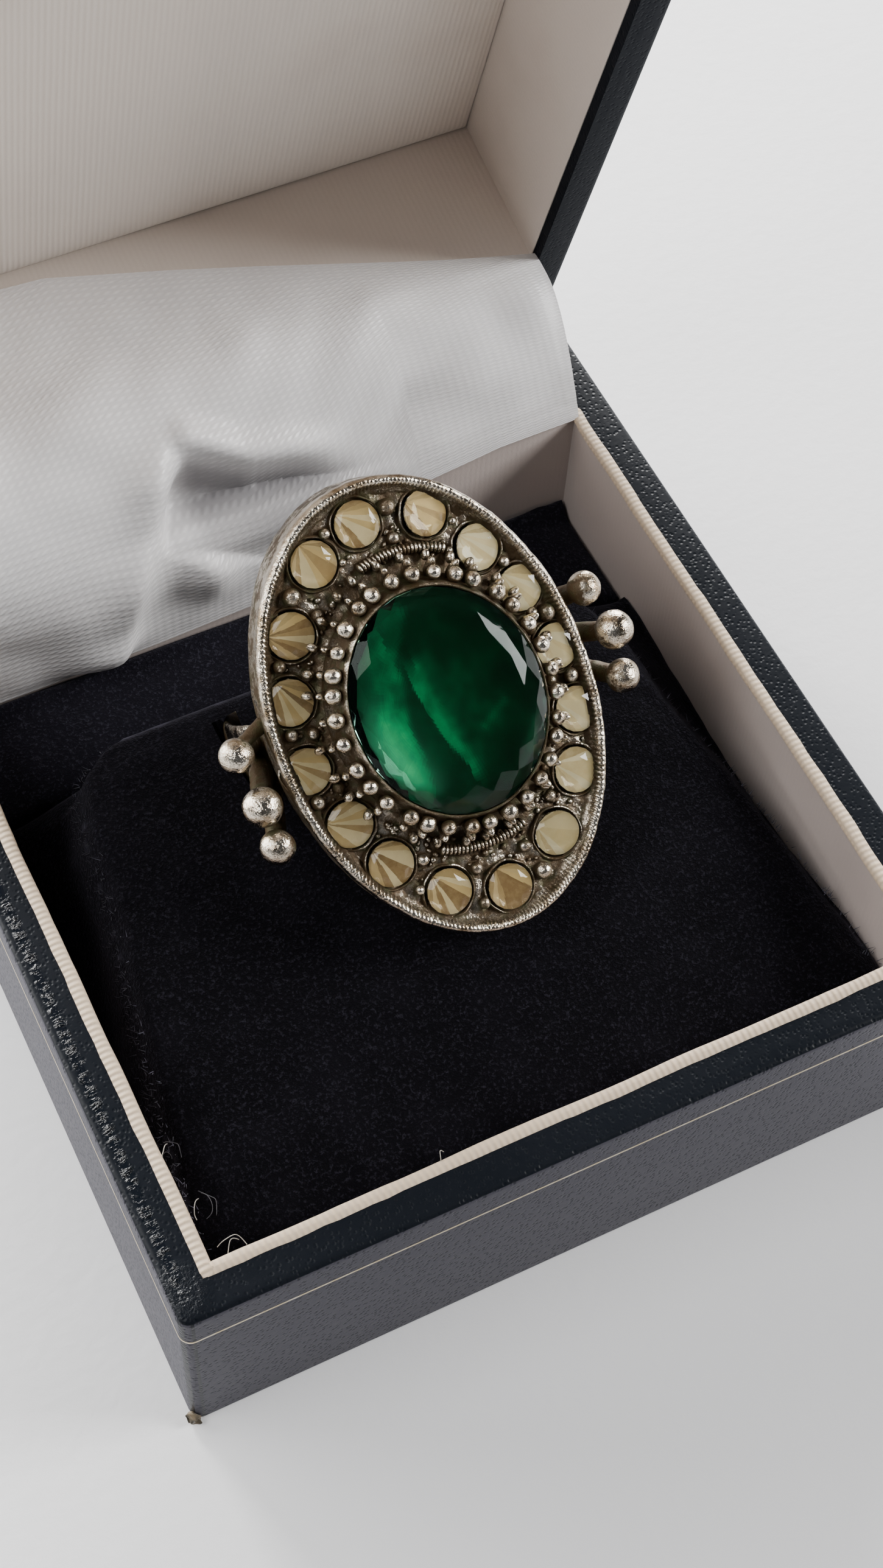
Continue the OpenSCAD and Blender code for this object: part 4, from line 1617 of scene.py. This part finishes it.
@dataclass
class RingHead:
    """The oval head: rim, plate, cup, beads, grains and rope rows, all of one casting.

    Each pit pattern has its height and its fineness, and each rope row its first and last angle.
    """
    ring: RingSizes
    seed: int = 11
    beads: int = 33
    bead_out: float = 0.86
    bead_high: float = 2.02
    grains: int = 520
    teeth: float = 135
    pits: tuple = ((0.1, 1.1), (0.09, 2.7), (0.04, 6))
    ropes: tuple = ((62, 100), (244, 282))
    rope_a: float = 8.3
    rope_b: float = 9.45
    rope_step: float = 1.65
    grimy: tuple = ("head_plate", "plate_grains", "stone_collars", "setting_cup")

    def build(self) -> None:
        """Makes the head's pieces."""
        r = self.ring
        silver = Silver().paint()
        seats = [r.seat_of(f"stone_{k + 1:02d}") for k in range(r.stone_count)]
        for piece in (self._rim(), self._plate(seats), self._collars(seats), self._cup(), self._coronet(),
                      self._grains(seats), self._rope()):
            tarnish_and_shade = 0.3 if piece.name in self.grimy else 0.05
            below = 0.48 if piece.name == "head_rim" else 0
            mark_tarnish_and_shade(piece, lambda at: tarnish_and_shade + below * ease(0.2, -0.3, at.z))
            dress(piece, silver)
            smooth(piece, 55)
            nodes = ["ring_mount"] if piece.name == "head_plate" else []
            deliver(piece, Body.BASE, nodes, r.place)

    def _rim(self) -> bpy.types.Object:
        """Models the rim wall with the row of fine teeth along its inner edge."""
        r = self.ring
        section = ((0.6, -2.45), (0.2, -2.6), (0.02, -2.45), (0.04, -1.5), (0.0, -0.5), (0.0, 0.3),
                   (0.06, 0.62), (0.2, 0.82), (0.36, 0.85), (0.5, 0.76), (0.62, 0.55), (0.74, 0.3),
                   (0.95, 0.1), (1.3, -0.1), (1.3, -0.9), (0.65, -1.2))
        rim = swept_ring("head_rim", [(r.head_a - d, r.head_b - d, z) for d, z in section], 1500)

        def cast(spot: Vector) -> Vector:
            """Adds the teeth, the worn places and the hand-made waver."""
            angle = math.atan2(spot.y / r.head_b, spot.x / r.head_a)
            out = math.hypot(spot.x / r.head_a, spot.y / r.head_b)
            crest = ease(0.05, 0.7, spot.z) * ease(0.985, 0.955, out) if spot.z > 0 else 0
            worn = 0.55 + 0.45 * drift(math.cos(angle) * 3, math.sin(angle) * 3, 2)
            tooth = abs(math.sin(angle * self.teeth)) * worn * crest
            waver = 0.07 * noise.noise(spot * 0.45) + 0.03 * noise.noise(spot * 1.9)
            flat = Vector((spot.x, spot.y, 0)).normalized()
            rise = 0.15 * tooth - 0.07 * crest + waver * (spot.z > 0)
            return r.bent(spot + flat * (-0.12 * tooth + waver * 0.8) + UP * rise)

        shift(rim, cast)
        outward(rim)
        return rim

    def _plate(self, seats: Sequence[Vector]) -> bpy.types.Object:
        """Models the pitted plate and drills the small stones' seats."""
        r = self.ring
        outer = (r.head_a - 0.9, r.head_b - 0.9, 0.0, 0.0, 0.0)
        inner = (r.gem_a + 0.2, r.gem_b + 0.2, 0.0, *r.gem_at)
        steps = 22
        rings = [[a + (b - a) * k / steps for a, b in zip(outer, inner)] for k in range(steps + 1)]
        rings += [(*side[:2], -r.plate_t, *side[3:]) for side in (inner, outer)]
        plate = swept_ring("head_plate", rings, 420)

        def pit(spot: Vector) -> Vector:
            """Roughens the plate's upper face."""
            if spot.z < -0.01:
                return spot
            rough = sum(high * noise.noise(spot * fine) for high, fine in self.pits)
            out = math.hypot((spot.x - r.gem_at[0]) / r.gem_a, (spot.y - r.gem_at[1]) / r.gem_b)
            return spot + UP * (rough + 0.35 * ease(1.5, 0.6, (out - 1) * 6.5) - 0.03)

        shift(plate, pit)
        outward(plate)
        drills = []
        for spot in seats:
            drill = start(Shape.CYLINDER, "drill", vertices=40, radius=r.stone_r + 0.1, depth=3)
            drill.data.transform(Matrix.Translation((spot.x, spot.y, 0.55)))
            drills.append(drill)
        cutter = join(drills, "drills")
        refine(plate, "BOOLEAN", operation="DIFFERENCE", solver="EXACT", object=cutter)
        remove(cutter)
        shift(plate, r.bent)
        return plate

    def _collars(self, seats: Sequence[Vector]) -> bpy.types.Object:
        """Models the thin rolled edge round each small stone."""
        r = self.ring
        collars = []
        for k, spot in enumerate(seats):
            collar = start(Shape.TORUS, "collar", (1, 1, 1.5), major_radius=r.stone_r + 0.2,
                           minor_radius=0.085, major_segments=48, minor_segments=8)

            def worn(at: Vector) -> Vector:
                """Bends the edge and lets it sink here and there."""
                drop = 0.24 * (noise.noise(at * 0.8 + Vector((k * 5, 3, 0))) - 0.15)
                out = 1 + 0.04 * noise.noise(at * 1.3 + Vector((k, 0, 0)))
                return at * out + UP * drop

            shift(collar, worn)
            collar.data.transform(r.on_plate(spot.x, spot.y, 0.1))
            collars.append(collar)
        return join(collars, "stone_collars")

    def _cup(self) -> bpy.types.Object:
        """Models the centre stone's cup and its thin turned edge."""
        r = self.ring
        top = r.gem_z
        section = ((0.16, 0.2), (0.12, top - 0.3), (0.05, top - 0.06), (0.12, top), (0.2, top - 0.1),
                   (0.36, top - 0.5), (0.55, 1.0), (0.9, 0.45), (0.9, -1.3), (0.16, -1.3))
        cup = swept_ring("setting_cup", [(r.gem_a + d, r.gem_b + d, z) for d, z in section], 160)
        shift(cup, lambda spot: spot + Vector((spot.x, spot.y, 0)) * 0.004 * noise.noise(spot * 1.2))
        base = start(Shape.CYLINDER, "cup_floor", (r.gem_a + 0.5, r.gem_b + 0.5, 1), vertices=96, radius=1,
                     depth=0.5, location=(0, 0, -1.2))
        with Edit(base, Parts.EDGES) as work:
            work.pick(lambda e: abs(e.verts[0].co.z - e.verts[1].co.z) < 0.01)
            bevel(0.15, 3)
        whole = join([cup, base], "setting_cup")
        outward(whole)
        whole.data.transform(r.gem_place)
        return whole

    def _coronet(self) -> bpy.types.Object:
        """Models the ring of beads round the centre stone, each with its foot."""
        r = self.ring
        rand = random.Random(self.seed)
        bead = start(Shape.SPHERE, "bead", segments=20, ring_count=12, radius=0.5)
        beads = []
        for k in range(self.beads):
            angle = 2 * math.pi * (k + 0.12 * rand.uniform(-1, 1)) / self.beads
            c, s = math.cos(angle), math.sin(angle)
            spot = Vector(((r.gem_a + self.bead_out) * c, (r.gem_b + self.bead_out) * s,
                           self.bead_high + 0.1 * rand.uniform(-1, 1)))
            out = math.atan2(s / r.gem_b, c / r.gem_a)
            size = 1 + 0.09 * rand.uniform(-1, 1)
            turn = Matrix.Rotation(out, 4, "Z")

            def beside(away: float, high: float) -> Matrix:
                """Stands something further out than the bead, at a height."""
                place = Vector((spot.x + away * math.cos(out), spot.y + away * math.sin(out), high))
                return Matrix.Translation(place) @ turn

            beads.append(copy_of(bead, "coronet_bead", beside(0, spot.z) @ Matrix.Scale(size, 4)))
            foot = beside(0.3, 1.15) @ turned(38, "Y") @ Matrix.Diagonal((0.75, 0.62, 1.9, 1))
            beads.append(copy_of(bead, "coronet_foot", foot))
            if rand.random() < 0.75:
                toe = beside(1.05, 0.35) @ Matrix.Diagonal((0.8, 0.55, 0.75, 1))
                beads.append(copy_of(bead, "coronet_toe", toe))
        remove(bead)
        coronet = join(beads, "coronet")
        shift(coronet, lambda at: at + dent(at, 2.1, 9) * 0.05)
        coronet.data.transform(r.gem_place)
        return coronet

    def _grains(self, seats: Sequence[Vector]) -> bpy.types.Object:
        """Models the beads between the small stones and the rough grains on the plate."""
        r = self.ring
        rand = random.Random(self.seed + 1)
        bead = start(Shape.SPHERE, "bead", segments=18, ring_count=12, radius=1)
        speck = start(Shape.ICO, "speck", subdivisions=2, radius=1)
        grains = []

        def room(x: float, y: float) -> float:
            """How far a place is from the nearest small stone."""
            return min(math.hypot(x - seat.x, y - seat.y) for seat in seats) - r.stone_r

        for k in range(r.stone_count):
            for scale, size, high in ((1.045, 0.56, 0.2), (0.875, 0.4, 0.12)):
                x, y = r.row((k + 0.5) / r.stone_count, scale)
                x, y = x + 0.12 * rand.uniform(-1, 1), y + 0.12 * rand.uniform(-1, 1)
                size = min(size, room(x, y) - 0.12)
                if size > 0.2:
                    grains.append(copy_of(bead, "grain", r.on_plate(x, y, high) @ Matrix.Scale(size, 4)))
        for _ in range(self.grains):
            angle, out = rand.uniform(0, 2 * math.pi), rand.uniform(1.2, 1.55)
            x = r.gem_at[0] + r.gem_a * out * math.cos(angle)
            y = r.gem_at[1] + (r.gem_b + 1.5 * (out - 1)) * out * math.sin(angle)
            size = rand.uniform(0.1, 0.24)
            if room(x, y) > 0.25 + size and math.hypot(x / (r.head_a - 1), y / (r.head_b - 1)) < 1:
                turn, flat = rand.uniform(0, 3), rand.uniform(0.6, 1)
                place = r.on_plate(x, y, 0.05, turn) @ Matrix.Scale(size, 4)
                grains.append(copy_of(speck, "speck", place @ Matrix.Diagonal((1, flat, 0.8, 1))))
        remove(bead)
        remove(speck)
        return join(grains, "plate_grains")

    def _rope(self) -> bpy.types.Object:
        """Models the two short finely ribbed rows beyond the ends of the cup."""
        r = self.ring
        disc = start(Shape.SPHERE, "disc", (0.16, 0.36, 0.4), segments=12, ring_count=8, radius=1)
        discs = []
        for low, high in self.ropes:
            count = int((high - low) / self.rope_step)
            for k in range(count):
                angle = math.radians(low + (high - low) * k / (count - 1))
                x, y = 0.4 + self.rope_a * math.cos(angle), 0.3 + self.rope_b * math.sin(angle)
                turn = math.atan2(self.rope_b * math.cos(angle), -self.rope_a * math.sin(angle))
                discs.append(copy_of(disc, "rope_rib", r.on_plate(x, y, 0.2, turn)))
        remove(disc)
        return join(discs, "rope_rows")


@dataclass
class Shank:
    """The open band with its split shoulders and their six balls."""
    ring: RingSizes
    voxel: float = 0.14

    def build(self) -> None:
        """Makes the band and the balls."""
        silver = Silver().paint()
        for piece in (self._band(), self._balls()):
            dress(piece, silver)
            smooth(piece, 60)
            deliver(piece, Body.BASE, (), self.ring.place)

    def _band(self) -> bpy.types.Object:
        """Models the round-backed band by spinning its section, and grows its shoulders into it."""
        r = self.ring
        middle = r.band_r + r.band_t / 2
        section = start(Shape.CIRCLE, "band", (1, r.band_w / 2, r.band_t / 2), vertices=20, radius=1,
                        fill_type="NGON", location=(0, 0, r.band_z - middle), rotation=(0, math.pi / 2, 0))
        half_gap = math.asin(r.band_gap / 2 / middle)
        section.data.transform(Matrix.Translation((0, 0, r.band_z)) @ Matrix.Rotation(half_gap, 4, "Y")
                               @ Matrix.Translation((0, 0, -r.band_z)))
        with Edit(section) as work:
            work.pick()
            bpy.ops.mesh.spin(steps=120, angle=-2 * (math.pi - half_gap), center=(0, 0, r.band_z),
                              axis=(0, 1, 0))
        outward(section)
        parts = [section]
        for k, (x, y) in enumerate(r.balls):
            row = 1 - k % 3
            root = Vector((math.copysign(r.arm_root[0], x), row * r.arm_root[1], r.arm_root[2]))
            parts.append(self._stem(root, Vector((x, y, r.ball_z)), 0.85, 0.6))
            high = Vector((math.copysign(6.6, x), row * 1.3, -3.4))
            parts.append(self._stem(root, high, 0.8, 0.75))
        parts.append(self._stem(Vector((-9.9, 3.5, -1.5)), Vector((-12.5, 2.7, -0.9)), 0.5, 0.42))
        post = start(Shape.CUBE, "post", (6, r.band_w, 3.2), size=1, location=(0, 0, -2.4))
        band = join([*parts, post], "ring_band")
        refine(band, "REMESH", mode="VOXEL", voxel_size=self.voxel, use_smooth_shade=True)
        refine(band, "SMOOTH", factor=0.6, iterations=6)
        shift(band, lambda at: at + dent(at, 1.6, 5, 1) * 0.05)
        # Painted shade: the band's upper part and its stems, which lie under the head, are marked darker.
        mark_tarnish_and_shade(band, lambda at: 1.2 * ease(-9, -4, at.z))
        return band

    @staticmethod
    def _stem(low: Vector, high: Vector, thick: float, thin: float) -> bpy.types.Object:
        """Models a tapered stem between two points.

        Args:
            low: the point at its thick end.
            high: the point at its thin end.
            thick: its radius at the first point.
            thin: its radius at the second.

        Returns:
            The stem.
        """
        way = high - low
        stem = start(Shape.CONE, "stem", vertices=24, radius1=thick, radius2=thin, depth=way.length)
        turn = way.to_track_quat("Z", "Y").to_matrix().to_4x4()
        stem.data.transform(Matrix.Translation((low + high) / 2) @ turn)
        return stem

    def _balls(self) -> bpy.types.Object:
        """Models the six balls, each a little dented."""
        r = self.ring
        balls = []
        for k, (x, y) in enumerate(r.balls):
            radius = r.ball_r + (0.15 if k % 3 == 1 else 0)
            ball = start(Shape.SPHERE, "ball", segments=40, ring_count=26, radius=radius)
            shift(ball, lambda at: at * (1 + 0.05 * noise.noise(at * 0.9 + Vector((k * 3, 0, 0)))))
            ball.data.transform(Matrix.Translation((x, y, r.ball_z)))
            balls.append(ball)
        whole = join(balls, "shoulder_balls")
        # Painted shade on the balls' sides towards the head and on their undersides, with random tarnish.
        mark_tarnish_and_shade(whole, lambda at: 0.6 * ease(12.6, 11.2, abs(at.x)) + 0.4 * ease(-0.6, -1.6, at.z)
                   + 0.35 * noise.noise(at * 1.1))
        return whole


# The stones


def cut_stone(name: str, half: tuple[float, float],
              rings: Sequence[tuple[int, float, float, float]]) -> bpy.types.Object:
    """Cuts a stone as the hull of rings of corners.

    Args:
        name: the piece's name.
        half: the stone's half width and half length.
        rings: for each ring its corners, its share of the stone's size, its height and its turn in degrees.

    Returns:
        The faceted solid.
    """
    circles = [start(Shape.CIRCLE, name, (half[0] * share, half[1] * share, 1), vertices=count, radius=1,
                     location=(0, 0, z), rotation=(0, 0, math.radians(turn)))
               for count, share, z, turn in rings]
    stone = join(circles, name)
    with Edit(stone, Parts.VERTS) as work:
        work.pick()
        bpy.ops.mesh.convex_hull(join_triangles=True, face_threshold=math.radians(1),
                                 shape_threshold=math.radians(1))
    outward(stone, 0.00001)
    return stone


def tone_facets(piece: bpy.types.Object, tone: Callable[[Vector], Colour]) -> None:
    """Gives each facet of a stone's foil its own tone.

    Args:
        piece: the foil.
        tone: gives a colour from a facet's middle.
    """
    layer = piece.data.color_attributes.new("tone", "FLOAT_COLOR", "CORNER")
    for face in piece.data.polygons:
        colour = (*tone(face.center), 1)
        for corner in face.loop_indices:
            layer.data[corner].color = colour


@dataclass
class Stones:
    """The green centre stone and the sixteen small pale ones, each a glass crown over its foil.

    The tones are those of a small stone's inner star and of its edge, light and dark facets painted on its
    foil. Each flash of the centre stone is a highlight painted on its foil, and has its line's two ends, its
    width to the right and to the left, and its strength.
    """
    ring: RingSizes
    seed: int = 5
    cloudy: tuple = (0, 1, 2, 13, 14, 15)
    tilted: dict = field(default_factory=lambda: {2: (0, 6), 3: (0, 8), 13: (8, -8)})
    cloudy_tones: tuple = (((0.98, 0.86, 0.56), (0.9, 0.76, 0.44), (1.0, 0.93, 0.7)),
                           ((0.88, 0.74, 0.44), (0.7, 0.56, 0.31), (0.95, 0.83, 0.54)))
    clear_tones: tuple = (((0.85, 0.66, 0.34), (0.34, 0.22, 0.1), (1.0, 0.88, 0.6), (0.56, 0.4, 0.2)),
                          ((0.66, 0.5, 0.26), (0.5, 0.36, 0.18), (0.82, 0.66, 0.38)))
    deep: Colour = (0.0, 0.018, 0.007)
    # The painted highlight colour of the centre stone's flashes.
    glint: Colour = (0.0, 0.36, 0.18)
    flashes: tuple = ((-0.105, 0.344, -0.215, 0.223, 0.1, 0.02, 0.5),
                      (-0.215, 0.223, -0.172, -0.221, 0.15, 0.01, 1.2),
                      (-0.172, -0.221, -0.089, -0.563, 0.12, 0.015, 0.9),
                      (0.0, 0.8, -0.267, 0.548, 0.05, 0.2, 0.35),
                      (-0.267, 0.548, -0.448, 0.04, 0.05, 0.24, 0.6),
                      (-0.448, 0.04, -0.539, -0.578, 0.05, 0.24, 0.3),
                      (0.246, -0.365, 0.539, -0.263, 0.04, 0.03, 0.35),
                      (0.1, 0.1, 0.3, -0.3, 0.2, 0.2, 0.16))

    def build(self) -> None:
        """Makes all the stones."""
        self._centre()
        clear = Glass("champagne_glass", (1.0, 0.97, 0.86)).paint()
        amber = Foil("amber_foil", (0.78, 0.62, 0.36), 0.3, 0.1).paint()
        cream = Foil("cream_foil", (1.0, 0.92, 0.66), 0.4, 0.0).paint()
        for k in range(self.ring.stone_count):
            self._small(k, clear, cream if k in self.cloudy else amber)

    def _centre(self) -> None:
        """Makes the centre stone."""
        r = self.ring
        a, b = r.gem_a, r.gem_b
        top = r.crown_h
        glass = cut_stone("centre_gem", (a, b),
                          ((8, 0.62, top, 30), (16, 0.74, top * 0.88, 7.5), (16, 0.85, top * 0.64, 18.75),
                           (16, 0.94, top * 0.34, 7.5), (32, 1, 0.02, 0), (32, 1, -0.16, 0),
                           (16, 0.9, -0.42, 0)))
        dress(glass, Glass("emerald_glass", (0.34, 0.8, 0.6), ripple=0.003, gloss=(0.26, 0.3, 0.28)).paint())
        foil = start(Shape.CIRCLE, "centre_foil", (a * 0.97, b * 0.97, 1), vertices=128, radius=1,
                     fill_type="TRIFAN")
        with Edit(foil, Parts.EDGES) as work:
            work.pick(lambda e: min(v.co.xy.length for v in e.verts) < 0.1)
            bpy.ops.mesh.subdivide(number_cuts=40)
        shift(foil, lambda at: at - UP * (0.45 + 1.2 * (1 - (at.x / a) ** 2 - (at.y / b) ** 2)))
        tone_facets(foil, self._flash)
        with Edit(foil) as work:
            work.pick()
            extrude(0, 0, -0.4)
        outward(foil)
        smooth(foil, 60)
        dress(foil, Foil("emerald_foil", (0.0, 0.05, 0.03)).paint())
        place = r.place @ r.gem_place @ Matrix.Translation((0, 0, r.gem_z))
        deliver(glass, Body.BASE, ["centre_stone"], place)
        deliver(foil, Body.BASE, (), place)

    def _flash(self, spot: Vector) -> Colour:
        """The centre stone's tone at a point: deep green with painted flashes of light, brighter towards its
        middle.
        """
        at = Vector((spot.x / self.ring.gem_a, spot.y / self.ring.gem_b))
        glow = 0.1 * ease(1.0, 0.3, at.length) + 0.12 * drift(at.x * 4, at.y * 4, 2)
        for x0, y0, x1, y1, inner, outer, power in self.flashes:
            start_at, run = Vector((x0, y0)), Vector((x1 - x0, y1 - y0))
            share = max(0.0, min(1.0, (at - start_at).dot(run) / run.length_squared))
            off = at - start_at - run * share
            glow += power * math.exp(-(off.length / (inner if off.x > 0 else outer)) ** 2)
        glow = max(0.0, min(1.2, glow * (0.8 + 0.5 * drift(at.x * 9, at.y * 9, 5))))
        return tuple(low + (high - low) * glow for low, high in zip(self.deep, self.glint))

    def _small(self, k: int, clear: bpy.types.Material, foil_finish: bpy.types.Material) -> None:
        """Makes one small stone with its foil."""
        r = self.ring
        rand = random.Random(self.seed * 100 + k)
        name = f"stone_{k + 1:02d}"
        spot = r.seat_of(name)
        size = r.stone_r
        glass = cut_stone("gem", (size, size),
                          ((8, 0.56, 0.42, 22.5), (8, 0.8, 0.3, 0), (16, 1, 0.05, 0), (16, 1, -0.08, 0)))
        foil = cut_stone("foil", (size, size),
                         ((16, 0.985, -0.1, 11.25), (16, 0.8, -0.17, 0), (8, 0.56, -0.24, 22.5),
                          (8, 0.28, -0.3, 0), (8, 0.04 / size, -0.33, 22.5)))
        star, edge = self.cloudy_tones if k in self.cloudy else self.clear_tones
        # Light and dark tones painted on the foil's facets stand in for the stone's sparkle.
        tone_facets(foil, lambda at: rand.choice(star if at.xy.length < size * 0.55 else edge))
        dress(glass, clear)
        dress(foil, foil_finish)
        gem = join([glass, foil], f"{name}_gem")
        lean, roll = self.tilted.get(k, (0, 0))
        tilt = turned(lean, "X") @ turned(roll, "Y") @ Matrix.Rotation(rand.uniform(0, 1), 4, "Z")
        place = r.place @ r.on_plate(spot.x, spot.y, r.girdle_z) @ tilt
        deliver(gem, Body.BASE, [name], place)


# The order in which everything is made


def main() -> None:
    """Builds the scene."""
    logging.basicConfig(level=logging.INFO, format="%(message)s")
    Stage().build()
    sizes = BoxSizes()
    BoxBase(sizes).build()
    BoxLid(sizes).build()
    ring = RingSizes()
    pads = VelvetPads(sizes, ring)
    pads.build()
    Lint(pads).build()
    SatinApron(sizes).build()
    RingHead(ring).build()
    Shank(ring).build()
    Stones(ring).build()


if __name__ == "__main__":
    main()
